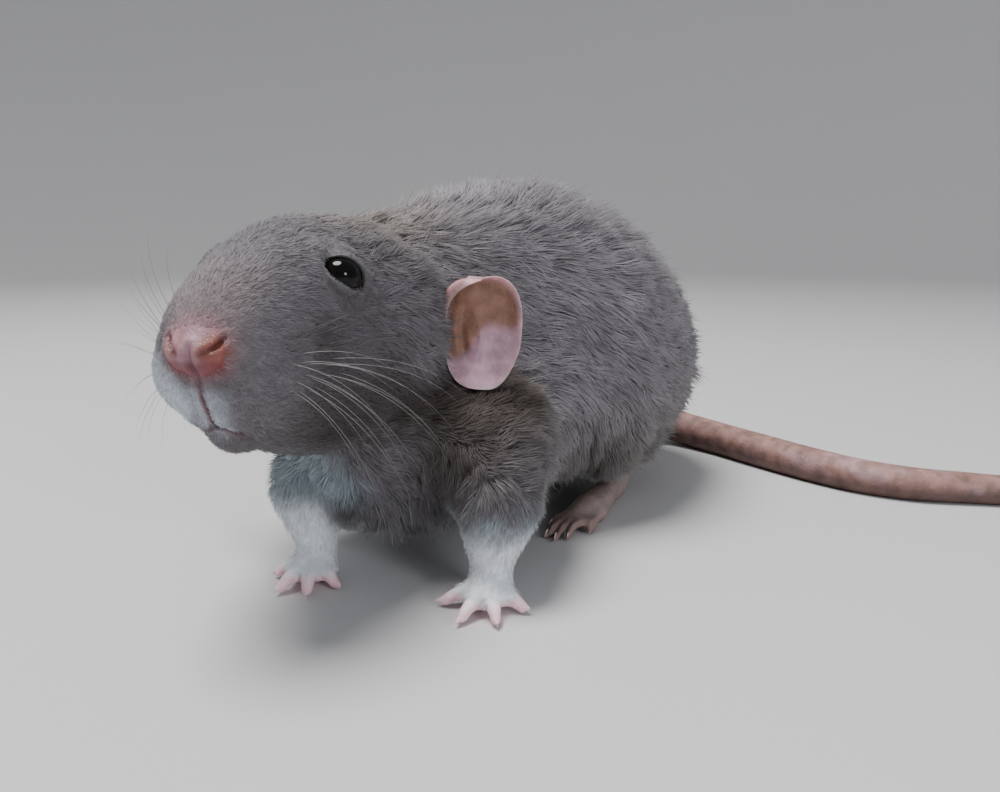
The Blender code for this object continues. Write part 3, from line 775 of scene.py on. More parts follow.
    def length(self, points: np.ndarray) -> np.ndarray:
        """Length of a tuft.

        Args:
            points: Roots on the skin.

        Returns:
            One length in millimetres for each root.
        """
        long = curve(self.length_by_back, self.face(points))
        head = self.left_head(points)
        long *= 1.0 - 0.5 * blob(head, *self.under_ear, 0.8)
        leg = LEGS.leg_mask(points)
        long *= (1.0 - 0.70 * leg) * (1.0 - 0.40 * leg * ease(15.0, 5.0, points[:, 2]))
        long *= 1.0 + 0.08 * self.ear_edge(head)
        for eye in Side:
            long *= 0.24 + 0.76 * self.round_eye(points, eye, 0.5, 4.5)
        return long

    def lift(self, points: np.ndarray, normals: np.ndarray) -> np.ndarray:
        """Angle of a tuft from the skin: highest on the back and rump.

        Args:
            points: Roots on the skin.
            normals: The skin's normals there.

        Returns:
            One angle in radians for each root.
        """
        back = self.face(points)
        angle = curve(self.lift_by_back, back)
        angle += 4.0 * ease(0.2, 0.9, normals[:, 2]) * ease(40.0, 60.0, back)
        angle += 3.0 * ease(125.0, 140.0, points[:, 1])
        angle += 10.0 * ease(0.3, 0.9, -normals[:, 2]) * ease(28.0, 36.0, points[:, 1])
        angle += 2.0 * LEGS.leg_mask(points)
        head = self.left_head(points)
        angle += 9.0 * self.ear_edge(head)
        angle -= 14.0 * blob(head, *self.under_ear, 0.8)
        return np.radians(angle)

    def flow(self, points: np.ndarray, normals: np.ndarray) -> np.ndarray:
        """Direction along the skin in which the coat lies.

        Args:
            points: Roots on the skin.
            normals: The skin's normals there.

        Returns:
            One direction for each root.
        """
        _, y, z = points.T
        side, back, _ = RAT.head(points).T
        ones = np.ones(len(points))
        trunk = np.stack((ones * 0.0, ones, -0.30 - 0.25 * np.abs(normals[:, 0])), 1)
        rear = ease(112.0, 138.0, y)[:, None]
        trunk = unit(trunk) * (1 - rear) + unit(np.array(self.tail_root) - points) * rear
        chest = ease(0.0, 0.7, -normals[:, 1]) * ease(40.0, 24.0, z) * (back > 20)
        trunk = trunk * (1 - chest[:, None]) + np.array(self.down) * chest[:, None]
        head = np.stack((side * 0.02, ones, -0.02 * np.abs(side) - 0.1), 1)
        head = unit(head) @ RAT.turn().T
        share = ease(56.0, 38.0, self.face(points))[:, None]
        way = trunk * (1 - share) + head * share
        leg = LEGS.leg_mask(points)[:, None]
        way = way * (1 - leg) + np.array(self.leg_down) * leg
        way = unit(way - normals * np.sum(way * normals, axis=1, keepdims=True))
        for eye in Side:
            gap = points - EYES.centre(eye)
            out = EYES.axes(eye)[0]
            gap = unit(gap - out * (gap @ out)[:, None])
            near = (0.85 * self.round_eye(points, eye, 2.8, 0.4))[:, None]
            way = unit(way * (1 - near) + (gap + way * 0.7) * near)
        swirl = np.radians(14.0 * ripple(points, 16.0, 5) + 9.0 * ripple(points, 6.0, 6))
        across = np.cross(normals, way)
        return unit(way * np.cos(swirl)[:, None] + across * np.sin(swirl)[:, None])

    def tint(self, points: np.ndarray) -> np.ndarray:
        """Colour of the coat and of the skin under it, with painted shade under the cheeks, on the neck
        and below the ears.

        Args:
            points: Places on the skin.

        Returns:
            One colour for each point.
        """
        ragged = ripple(points, 7.0, 11)
        colour = self.trunk_tint(points, ragged)
        colour = self.leg_tint(colour, points, ragged)
        # Painted shade in the right armpit.
        colour = self.armpit_shade.paint(colour, points)
        colour = self.face_tint(colour, points, ragged)
        # Painted shade under the cheeks, on the neck and below the ears, over fur that is a little darker
        # there.
        shade = 0.58 * blob(RAT.head(points), *self.cheek_shade, 0.9)
        shade += 0.66 * blob(points, *self.neck_shade, 1.1)
        shade += 0.65 * blob(points, *self.ear_shade, 1.0)
        shade = np.clip(shade, 0.0, 0.82)[:, None]
        colour = colour * (1.0 - shade * np.array(self.shade_dim))
        return colour * (1.0 + 0.05 * ripple(points, 2.4, 12))[:, None]

    def trunk_tint(self, points: np.ndarray, ragged: np.ndarray) -> np.ndarray:
        """Grey of the whole coat with belly and nape, with painted shade low on the flanks and on the
        white chest patch.

        Args:
            points: Places on the skin.
            ragged: Waves that make the edges of the markings uneven.

        Returns:
            One colour for each point.
        """
        _, y, z = points.T
        back = RAT.head(points)[:, 1]
        colour = np.tile(np.array(self.grey), (len(points), 1))
        colour *= (1.0 + 0.07 * ripple(points, 26.0, 1) + 0.05 * ripple(points, 9.0, 2))[:, None]
        colour *= curve(self.tone_by_back, back)[:, None]
        colour *= (1.0 - 0.10 * ease(48.0, 66.0, z) * ease(52.0, 62.0, y))[:, None]
        # Painted shade low on the flanks of the hind body.
        low = ease(34.0, 16.0, z + 2.0 * ragged) * ease(60.0, 75.0, y)
        colour *= 1.0 - low[:, None] * np.array(self.low_flank_shade)
        under = ease(18.0, 7.0, z + 2.0 * ragged) * ease(30.0, 40.0, back)
        colour = mixed(colour, self.belly, under * 0.75)
        colour = self.nape.paint(colour, points)
        # The white chest patch, darkened by painted shade under the head.
        chest = blob(points, *self.chest, 0.6)
        return mixed(colour, self.shaded_white, chest * ease(-1.2, 0.6, ragged * 0.5 + 1.0))

    def leg_tint(self, colour: np.ndarray, points: np.ndarray, ragged: np.ndarray) -> np.ndarray:
        """White of the forelegs, darkened by painted shade high up, and paler heels.

        Args:
            colour: Colours so far.
            points: Places on the skin.
            ragged: Waves that make the edges of the markings uneven.

        Returns:
            The colours with these markings.
        """
        x, y, z = points.T
        for leg, paw_y in zip(Side, LEGS.fore_y):
            top = 16.5 if leg is Side.LEFT else 23.0
            near = np.hypot(x - leg.value * LEGS.fore_x, (y - paw_y - 4) * 0.75)
            white = ease(top + 3.5, top - 3.5, z + 2.2 * ragged) * ease(10.0, 6.5, near + ragged)
            if leg is Side.RIGHT:
                white = white * (1.0 - ease(11.0, 14.0, z) * ease(-12.5, -9.5, x))
            # High on the forelegs the white is darkened by painted shade, as on the chest.
            share = ease(17.0, 10.0, z - 2.5 * (leg is Side.RIGHT))[:, None]
            pale = np.array(self.shaded_white) * (1.0 - share) + np.array(self.white) * share
            colour = colour + (pale - colour) * white[:, None]
            near = np.hypot(x - leg.value * LEGS.hind_x, (y - LEGS.hind_heel + 7) * 0.6)
            pale = ease(11.0, 6.0, z + 1.0 * ragged) * ease(13.0, 8.5, near)
            colour = mixed(colour, self.belly, pale)
        return colour

    def face_tint(self, colour: np.ndarray, points: np.ndarray, ragged: np.ndarray) -> np.ndarray:
        """Pale lips, the far side of the muzzle partly painted light, painted shade on the chin and under
        the jaw, warm bridge of the nose, whisker spots and rings of the eyes.

        Args:
            colour: Colours so far.
            points: Places on the skin.
            ragged: Waves that make the edges of the markings uneven.

        Returns:
            The colours with these markings.
        """
        head = RAT.head(points)
        side, back, up = head.T
        lip = ease(4.2, 0.9, LIPS.from_cleft(head) + 0.5 * ragged) * ease(-3.4, -6.0, up)
        colour = mixed(colour, self.lip, lip * 0.6)
        # The right side of the muzzle made paler: partly paler fur, partly painted light.
        far_pale_and_lit = ease(-2.0, -4.6, side + 0.6 * ragged) * ease(1.0, -3.0, up)
        colour = mixed(colour, self.lip, far_pale_and_lit * ease(15.0, 2.0, back + ragged) * 0.95)
        # Painted shade under the chin.
        chin_shade = ease(17.0, 9.0, back) * ease(-10.6, -12.4, up)
        colour = mixed(colour, self.chin_shade, chin_shade * 0.8)
        bridge = ease(11.0, 3.0, back) * ease(-5.5, -1.5, up) * ease(7.5, 4.5, np.abs(side))
        colour = mixed(colour, self.nose_top, bridge * 0.6)
        colour = self.blush.paint(colour, head)
        for spot in self.face_spots:
            for flank in Side:
                colour = spot.paint(colour, head, flank.value)
        for eye in Side:
            colour = mixed(colour, self.eye_ring, self.round_eye(points, eye, 2.2, 0.5) * 0.2)
        return colour


COAT = Coat()


# Finishes


def settle(node: bpy.types.Node, **values: float | tuple[float, ...]) -> bpy.types.Node:
    """Set a node's inputs, whose names are written with underscores for spaces."""
    for name, value in values.items():
        node.inputs[name.replace("_", " ")].default_value = value
    return node


@dataclass
class Graph:
    """One new material, with short ways to add and join its nodes.

    Attributes:
        name: Name of the material.
    """

    name: str

    def __post_init__(self) -> None:
        """Make the material with its Principled shader."""
        self.made = bpy.data.materials.new(self.name)
        self.made.use_nodes = True
        self.tree = self.made.node_tree
        self.shader = self.tree.nodes["Principled BSDF"]

    def add(self, kind: str, **values: float | tuple[float, ...]) -> bpy.types.Node:
        """Add a shader node and set its inputs."""
        return settle(self.tree.nodes.new("ShaderNode" + kind), **values)

    def join(self, start: bpy.types.Node, output: str, end: bpy.types.Node,
             socket: str | int) -> None:
        """Join the output of one node to a socket of another."""
        self.tree.links.new(start.outputs[output], end.inputs[socket])

    def noise(self, scale: float) -> bpy.types.Node:
        """Noise over the object's own coordinates."""
        made = self.add("TexNoise", Scale=scale)
        self.join(self.add("TexCoord"), "Object", made, "Vector")
        return made

    def vary_tint(self, source: bpy.types.Node, output: str, **levels: float) -> None:
        """Colour the shader by the tint on the points, made lighter and darker by a value.

        Args:
            source: Node that the value comes from.
            output: Its output.
            levels: Inputs of the range that the value is brought into.
        """
        tint = self.add("VertexColor")
        tint.layer_name = "tint"
        level = self.add("MapRange", **levels)
        vary = self.add("VectorMath")
        vary.operation = "SCALE"
        self.join(source, output, level, "Value")
        self.join(tint, "Color", vary, 0)
        self.join(level, "Result", vary, "Scale")
        self.join(vary, "Vector", self.shader, "Base Color")

    def two_tones(self, scale: float, low: Colour, high: Colour) -> None:
        """Colour the shader by a ramp between two colours over noise.

        Args:
            scale: Fineness of the noise, per metre.
            low: Colour where the noise is low.
            high: Colour where it is high.
        """
        ramp = self.add("ValToRGB")
        ramp.color_ramp.elements[0].color = (*low, 1.0)
        ramp.color_ramp.elements[1].color = (*high, 1.0)
        self.join(self.noise(scale), "Fac", ramp, "Fac")
        self.join(ramp, "Color", self.shader, "Base Color")


def grain_group() -> bpy.types.ShaderNodeTree:
    """Shared fine grain of living skin: small cells with creases between, and soft blotches.

    Returns:
        The group, with inputs Cells and Blotches and outputs Height and Mottle.
    """
    found = bpy.data.node_groups.get("skin_grain")
    if found:
        return found
    group = bpy.data.node_groups.new("skin_grain", "ShaderNodeTree")
    face = group.interface
    for name, value in (("Cells", 1500.0), ("Blotches", 250.0)):
        socket = face.new_socket(name, in_out="INPUT", socket_type="NodeSocketFloat")
        socket.default_value = value
    for name in ("Height", "Mottle"):
        face.new_socket(name, in_out="OUTPUT", socket_type="NodeSocketFloat")
    nodes, links = group.nodes, group.links
    enter, leave = nodes.new("NodeGroupInput"), nodes.new("NodeGroupOutput")
    where = nodes.new("ShaderNodeTexCoord")
    cells = nodes.new("ShaderNodeTexVoronoi")
    cells.feature = "DISTANCE_TO_EDGE"
    blotch = settle(nodes.new("ShaderNodeTexNoise"), Detail=5.0)
    small = settle(nodes.new("ShaderNodeTexNoise"), Detail=3.0)
    edge = settle(nodes.new("ShaderNodeMapRange"), From_Max=0.22)
    total = nodes.new("ShaderNodeMath")
    total.operation = "MULTIPLY_ADD"
    total.inputs[1].default_value = 0.6
    for node in (cells, blotch, small):
        links.new(where.outputs["Object"], node.inputs["Vector"])
    links.new(enter.outputs["Cells"], cells.inputs["Scale"])
    links.new(enter.outputs["Cells"], small.inputs["Scale"])
    links.new(enter.outputs["Blotches"], blotch.inputs["Scale"])
    links.new(cells.outputs["Distance"], edge.inputs["Value"])
    links.new(edge.outputs["Result"], total.inputs[0])
    links.new(small.outputs["Fac"], total.inputs[2])
    links.new(total.outputs["Value"], leave.inputs["Height"])
    links.new(blotch.outputs["Fac"], leave.inputs["Mottle"])
    return group


@dataclass(frozen=True)
class SkinFinish:
    """Skin that takes its colour from the tint on its points, with grain and mottling.

    Attributes:
        name: Name of the material.
        cells: Fineness of the creases, per metre.
        blotches: Fineness of the mottling, per metre.
        mottle: Strength of the mottling, 0 to 1.
        bump: Strength of the grain.
        rough: Roughness.
        flesh: Weight of light that passes through the skin.
        grain_deep: Depth of the grain in metres.
        flesh_deep: How far light passes through the skin, in metres.
    """

    name: str
    cells: float = 1500.0
    blotches: float = 260.0
    mottle: float = 0.35
    bump: float = 0.35
    rough: float = 0.5
    flesh: float = 0.25
    grain_deep: float = 0.00012
    flesh_deep: float = 0.0011

    def material(self) -> bpy.types.Material:
        """Build the material.

        Returns:
            The material.
        """
        graph = Graph(self.name)
        grain = graph.add("Group")
        grain.node_tree = grain_group()
        settle(grain, Cells=self.cells, Blotches=self.blotches)
        graph.vary_tint(grain, "Mottle", From_Min=0.3, From_Max=0.7, To_Min=1.0 - self.mottle,
                        To_Max=1.0 + self.mottle * 0.6)
        bump = graph.add("Bump", Strength=self.bump, Distance=self.grain_deep)
        graph.join(grain, "Height", bump, "Height")
        graph.join(bump, "Normal", graph.shader, "Normal")
        settle(graph.shader, Roughness=self.rough, Subsurface_Weight=self.flesh,
               Subsurface_Radius=(1.0, 0.38, 0.28), Subsurface_Scale=self.flesh_deep,
               Specular_IOR_Level=0.4)
        return graph.made


@dataclass(frozen=True)
class HairFinish:
    """Hair that takes its colour from the tint on its points, streaked very finely.

    Attributes:
        name: Name of the material.
        rough: Roughness.
        sheen: Weight of the soft sheen.
        streaks: Fineness of the streaks, per metre.
    """

    name: str
    rough: float = 0.62
    sheen: float = 0.12
    streaks: float = 1800.0

    def material(self) -> bpy.types.Material:
        """Build the material.

        Returns:
            The material.
        """
        graph = Graph(self.name)
        graph.vary_tint(graph.noise(self.streaks), "Fac", To_Min=0.82, To_Max=1.18)
        settle(graph.shader, Roughness=self.rough, Specular_IOR_Level=0.35,
               Sheen_Weight=self.sheen, Sheen_Roughness=0.5)
        return graph.made


@dataclass(frozen=True)
class EyeFinish:
    """Wet, nearly black eye with a trace of brown."""

    colour: Colour = (0.004, 0.0025, 0.002)
    black: Colour = (0.001, 0.001, 0.001)
    clouds: float = 900.0

    def material(self) -> bpy.types.Material:
        """Build the material.

        Returns:
            The material.
        """
        graph = Graph("wet_eye")
        mix = graph.add("Mix")
        mix.data_type = "RGBA"
        settle(mix, A=(*self.black, 1.0), B=(*self.colour, 1.0))
        graph.join(graph.noise(self.clouds), "Fac", mix, "Factor")
        graph.join(mix, "Result", graph.shader, "Base Color")
        settle(graph.shader, Roughness=0.035, Specular_IOR_Level=0.22)
        return graph.made


@dataclass(frozen=True)
class HornFinish:
    """Translucent horn of the claws, in two tones."""

    pale: Colour = (0.85, 0.70, 0.66)
    dark: Colour = (0.70, 0.50, 0.47)
    clouds: float = 700.0

    def material(self) -> bpy.types.Material:
        """Build the material.

        Returns:
            The material.
        """
        graph = Graph("claw_horn")
        graph.two_tones(self.clouds, self.dark, self.pale)
        settle(graph.shader, Roughness=0.28, Subsurface_Weight=0.3,
               Subsurface_Radius=(1.0, 0.7, 0.5), Subsurface_Scale=0.0006)
        return graph.made


@dataclass(frozen=True)
class FloorFinish:
    """Plain pale floor with a trace of unevenness."""

    colour: Colour = (0.62, 0.62, 0.63)
    clouds: float = 6.0

    def material(self) -> bpy.types.Material:
        """Build the material.

        Returns:
            The material.
        """
        graph = Graph("pale_floor")
        low = tuple(channel * 0.98 for channel in self.colour)
        graph.two_tones(self.clouds, low, self.colour)
        settle(graph.shader, Roughness=0.75)
        return graph.made


# The skin and what is joined to it


@dataclass
class Skin:
    """One skin over head, trunk, legs and feet, with the ears, tail and lids joined to it."""

    voxel: float = 0.70
    swell: float = 0.3
    smoothing: int = 5
    lowest: float = 0.03
    sag: tuple[tuple[Spot, Spot, float], ...] = (
        ((-2.0, 44.0, 13.0), (13.0, 16.0, 8.0), 3.2),
        ((15.0, 62.0, 13.0), (12.0, 16.0, 9.0), 3.4),
    )
    flesh: tuple[str, ...] = ("head", "neck", "torso", "foreleg_left", "foreleg_right",
                              "hindleg_left", "hindleg_right", "forepaw_left", "forepaw_right",
                              "hindfoot_left", "hindfoot_right")
    added: tuple[str, ...] = ("ear_left", "ear_right", "tail_base", "tail_middle", "tail_end",
                              "tail_tip")
    nostril: tuple[Spot, ...] = ((2.0, -1.7, 0.2), (2.8, -1.1, 0.6), (3.5, -0.2, 1.1),
                                 (3.9, 0.8, 1.9))
    nose_wing: tuple[Spot, Spot] = ((3.0, -0.5, -0.5), (2.3, 2.4, 1.7))
    toe_pink: Colour = (1.0, 0.66, 0.72)
    toe_top: Colour = (1.0, 0.92, 0.96)
    # Painted shade under the body, over the pink of the hind feet.
    hind_foot_shade: Colour = (0.215, 0.145, 0.12)
    # Dark red of the lip's split: its skin, deepened by painted shade in the crease.
    crease: Colour = (0.115, 0.028, 0.04)
    mouth_shade: Colour = (0.06, 0.022, 0.036)
    hole: Colour = (0.09, 0.02, 0.015)
    pad: Marking = Marking((0.0, -0.6, 0.8), (5.2, 4.0, 4.0), 0.5, (0.35, 0.20, 0.235))
    wings: tuple[Marking, Marking] = (
        Marking((3.2, -0.3, 0.3), (2.2, 2.8, 2.6), 0.9, (0.215, 0.060, 0.036), 0.9),
        Marking((3.2, -0.3, 0.3), (2.2, 2.8, 2.6), 0.9, (0.33, 0.15, 0.16), 0.9),
    )
    under_nose: Marking = Marking((2.4, -0.6, -2.0), (2.6, 2.4, 1.3), 0.9, (0.17, 0.03, 0.04), 0.85)
    lid_points: int = 48
    lid_rows: tuple[tuple[float, float, float], ...] = (
        (-0.15, 2.0, 0.006), (0.08, -1.2, 0.006), (0.24, -1.2, 0.007), (0.36, 0.2, 0.010),
        (0.42, 2.0, 0.014), (0.38, 4.2, 0.022), (0.15, 7.0, 0.03), (-0.6, 10.0, 0.03))
    shells: list[Shell] = field(default_factory=list)
    body: bpy.types.Object | None = None

    def fused(self) -> bpy.types.Mesh:
        """Fuse the swollen flesh nodes to one closed skin, with the sockets of the eyes filled.

        Returns:
            The mesh, in metres, on the solids' own surface.
        """
        shape = bmesh.new()
        for name in (*self.flesh, "eye_left", "eye_right"):
            shape.from_mesh(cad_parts[name].data)
        bmesh.ops.remove_doubles(shape, verts=shape.verts, dist=0.000004)
        data = bpy.data.meshes.new("flesh")
        shape.to_mesh(data)
        shape.free()
        guide = link("flesh", data)
        grow = guide.modifiers.new("Swell", "DISPLACE")
        grow.strength = self.swell * MM
        grow.mid_level = 0.0
        fuse = guide.modifiers.new("Fuse", "REMESH")
        fuse.mode = "VOXEL"
        fuse.voxel_size = self.voxel * MM
        soften = guide.modifiers.new("Soften", "SMOOTH")
        soften.factor = 0.5
        soften.iterations = self.smoothing
        bpy.context.view_layer.update()
        ready = guide.evaluated_get(bpy.context.evaluated_depsgraph_get())
        made = bpy.data.meshes.new_from_object(ready)
        bpy.data.objects.remove(guide, do_unlink=True)
        return made

    def largest(self, shape: bmesh.types.BMesh) -> None:
        """Keep only the largest connected surface.

        Args:
            shape: The fused skin.
        """
        seen: set = set()
        groups = []
        for start in shape.verts:
            if start in seen:
                continue
            group = [start]
            seen.add(start)
            for corner in group:
                for edge in corner.link_edges:
                    other = edge.other_vert(corner)
                    if other not in seen:
                        seen.add(other)
                        group.append(other)
            groups.append(group)
        groups.sort(key=len)
        spare = [corner for group in groups[:-1] for corner in group]
        bmesh.ops.delete(shape, geom=spare, context="VERTS")

    def refine(self, shape: bmesh.types.BMesh, chosen: np.ndarray) -> None:
        """Divide the faces whose points are all chosen.

        Args:
            shape: The skin.
            chosen: Whether each of its points is chosen.
        """
        edges = {edge for face in shape.faces
                 if all(chosen[corner.index] for corner in face.verts) for edge in face.edges}
        bmesh.ops.subdivide_edges(shape, edges=list(edges), cuts=1, use_grid_fill=True,
                                  smooth=0.35)
        shape.verts.index_update()
        shape.verts.ensure_lookup_table()

    def sunk(self) -> bmesh.types.BMesh:
        """Skin sunk by the coat's depth below the solids' surface, and smoothed.

        Returns:
            The skin's shape, in metres.
        """
        shape = bmesh.new()
        shape.from_mesh(self.fused())
        self.largest(shape)
        shape.verts.index_update()
        shape.normal_update()
        points = self.spots(shape)
        normals = np.array([v.normal for v in shape.verts])
        points -= normals * (COAT.depth(points) + self.swell)[:, None]
        for middle, size, drop in self.sag:
            points[:, 2] -= drop * blob(points, middle, size, 1.6)
        for corner, spot in zip(shape.verts, RAT.row(points)):
            corner.co = spot
        for _ in range(3):
            bmesh.ops.smooth_vert(shape, verts=shape.verts, factor=0.5, use_axis_x=True,
                                  use_axis_y=True, use_axis_z=True)
        return shape

    def spots(self, shape: bmesh.types.BMesh) -> np.ndarray:
        """Points of a shape in the rat's millimetres."""
        return RAT.rat(np.array([v.co for v in shape.verts]))

    def base(self) -> Shell:
        """Skin of head, trunk, legs and feet with its fine forms.

        Returns:
            The shell, with furred, foot and nose faces.
        """
        shape = self.sunk()
        points = self.spots(shape)
        head = RAT.head(points)
        fine = (head[:, 1] < 27) & (head[:, 2] > -20)
        self.refine(shape, fine | (LEGS.foot_mask(points) > 0.2))
        head = RAT.head(self.spots(shape))
        self.refine(shape, (head[:, 1] < 9) & (np.abs(head[:, 0]) < 8) & (head[:, 2] > -15))
        shape.normal_update()
        points = self.carve(self.spots(shape), np.array([v.normal for v in shape.verts]))
        bmesh.ops.triangulate(shape, faces=[f for f in shape.faces if len(f.verts) > 4])
        faces = np.full((len(shape.faces), 4), -1)
        for row, face in zip(faces, shape.faces):
            row[:len(face.verts)] = [corner.index for corner in face.verts]
        shape.free()
        first = faces[:, 0]
        bare = COAT.bare(points)[first] > 0.5
        slot = np.where(bare, Bare.FOOT.value, Bare.FURRED.value)
        slot[bare & (RAT.head(points)[first, 1] < 12)] = Bare.NOSE.value
        return Shell(points, faces, slot, self.tint(points))

    def carve(self, points: np.ndarray, normals: np.ndarray) -> np.ndarray:
        """Sink the nostrils, cleft and mouth line, raise the rims beside them and seat the lids.

        Args:
            points: Places on the skin.
            normals: Its normals there.

        Returns:
            The places with the fine forms of the face and feet.
        """
        head = RAT.head(points)
        away = LIPS.from_cleft(head)
        sink = 0.55 * groove(away, 0.42) - 0.16 * groove(away - 1.0, 0.5)
        away = LIPS.from_mouth(head)
        sink += 0.45 * groove(away, 0.4) - 0.12 * groove(away - 1.1, 0.6)
        for side in Side:
            flip = np.array((side.value, 1.0, 1.0))
            away = path_distance(head, np.array(self.nostril) * flip)
            sink += 0.85 * groove(away, 0.3) - 0.2 * groove(away - 0.9, 0.5)
            middle, size = self.nose_wing
            sink -= 0.3 * blob(head, tuple(np.array(middle) * flip), size, 1.2)
        sink *= (head[:, 1] < 16)
        points = points - normals * sink[:, None]
        for side in Side:
            centre = EYES.centre(side)
            beyond, away = EYES.beyond(points, side)
            rim = EYES.radius + 0.42 - 1.5 * ease(14.0, 60.0, beyond)
            inner = EYES.radius - 0.5
            level = np.where(beyond > 0, np.maximum(away, rim), np.minimum(away, inner))
            share = ease(-5.0, 1.0, beyond)
            level = inner * (1 - share) + level * share
            near = (away < EYES.radius + 2.0) & (beyond < 75.0)
            scale = np.where(near, level / away, 1.0)
            points = centre + (points - centre) * scale[:, None]
        points = LEGS.gather(LEGS.part_toes(points))
        points[:, 2] = np.maximum(points[:, 2], self.lowest)
        return points

    def tint(self, points: np.ndarray) -> np.ndarray:
        """Colours of the skin: dimmed coat colour, pink feet with painted shade on the hind feet, nose,
        and painted shade in the nostrils, the split of the lip and the mouth line.

        Args:
            points: Places on the skin.

        Returns:
            One colour for each point.
        """
        head = RAT.head(points)
        colour = COAT.tint(points)
        deep = curve(((4, 0.95), (20, 0.90), (50, 0.72)), COAT.face(points))
        deep = deep + (0.95 - deep) * LEGS.leg_mask(points)
        colour *= deep[:, None]
        pink = np.tile(np.array(self.toe_pink), (len(points), 1))
        pink = mixed(pink, self.toe_top, ease(1.6, 3.8, points[:, 2]) * 0.85)
        # Hind feet darkened by painted shade under the body.
        pink = mixed(pink, self.hind_foot_shade, ease(60.0, 64.0, points[:, 1]) * 0.88)
        foot = ease(0.05, 0.75, LEGS.foot_mask(points))
        colour = colour + (pink - colour) * foot[:, None]
        colour = self.pad.paint(colour, head)
        for flank, wing in zip(Side, self.wings):
            colour = wing.paint(colour, head, flank.value)
            colour = self.under_nose.paint(colour, head, flank.value)
        # Dark red in the split of the lip: its skin, deepened by painted shade in the crease.
        cleft = groove(LIPS.from_cleft(head), 0.75) * ease(1.2, -2.0, head[:, 2])
        colour = mixed(colour, self.crease, cleft)
        # Painted shade along the line of the mouth.
        colour = mixed(colour, self.mouth_shade, groove(LIPS.from_mouth(head), 0.95))
        # Painted shade in the nostrils.
        for flank in Side:
            flip = np.array((flank.value, 1.0, 1.0))
            hole = path_distance(head, np.array(self.nostril) * flip)
            colour = mixed(colour, self.hole, groove(hole, 0.45))
        return colour

    def lids(self) -> Shell:
        """Soft rims round both eyes, from the wet edge out into the head's skin.

        Returns:
            The shell of both rims.
        """
        count = self.lid_points
        quads = np.roll(grid(len(self.lid_rows), count)[:, ::-1], 1, axis=1)
        parts, tint = [], []
        for side in Side:
            rings = [EYES.ring(side, EYES.radius + proud, wider, count)
                     for proud, wider, _ in self.lid_rows]
            parts.append((np.vstack(rings), quads if side is Side.LEFT else quads[:, ::-1]))
            tint += [np.tile((shade, shade * 0.88, shade * 0.9), (count, 1))
                     for _, _, shade in self.lid_rows]
        points, faces = joined(parts)
        return Shell(points, faces, np.full(len(faces), Bare.LID.value), np.vstack(tint))

    def join(self, finishes: list[SkinFinish]) -> bpy.types.Object:
        """Join all shells to the one skin and dress it.

        Args:
            finishes: One finish for each kind of surface, in the order of Bare.

        Returns:
            The skin.
        """
        points, faces = joined([(shell.points, shell.faces) for shell in self.shells])
        data = build_mesh("skin", RAT.row(points), faces)
        add_tint(data, np.vstack([shell.tint for shell in self.shells]))
        slots = np.concatenate([shell.slot for shell in self.shells]).astype(np.int32)
        self.body = place("skin", data, [finish.material() for finish in finishes], "coat")
        data.polygons.foreach_set("material_index", slots)
        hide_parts(*self.flesh, *self.added)
        return self.body

    def unwrap(self) -> np.ndarray:
        """Unwrap the skin's own shape, and take the map off again.

        Returns:
            A place on the map for each corner of each face.
        """
        data = self.body.data
        data.uv_layers.new(name="OFBake")
        bpy.context.view_layer.objects.active = self.body
        self.body.select_set(True)
        bpy.ops.object.mode_set(mode="EDIT")
        bpy.ops.mesh.select_all(action="SELECT")
        bpy.ops.uv.smart_project(angle_limit=1.15, island_margin=0.001)
        bpy.ops.object.mode_set(mode="OBJECT")
        self.body.select_set(False)
        layer = data.uv_layers["OFBake"]
        found = read(layer.data, "uv", 2, np.float32)
        data.uv_layers.remove(layer)
        return found


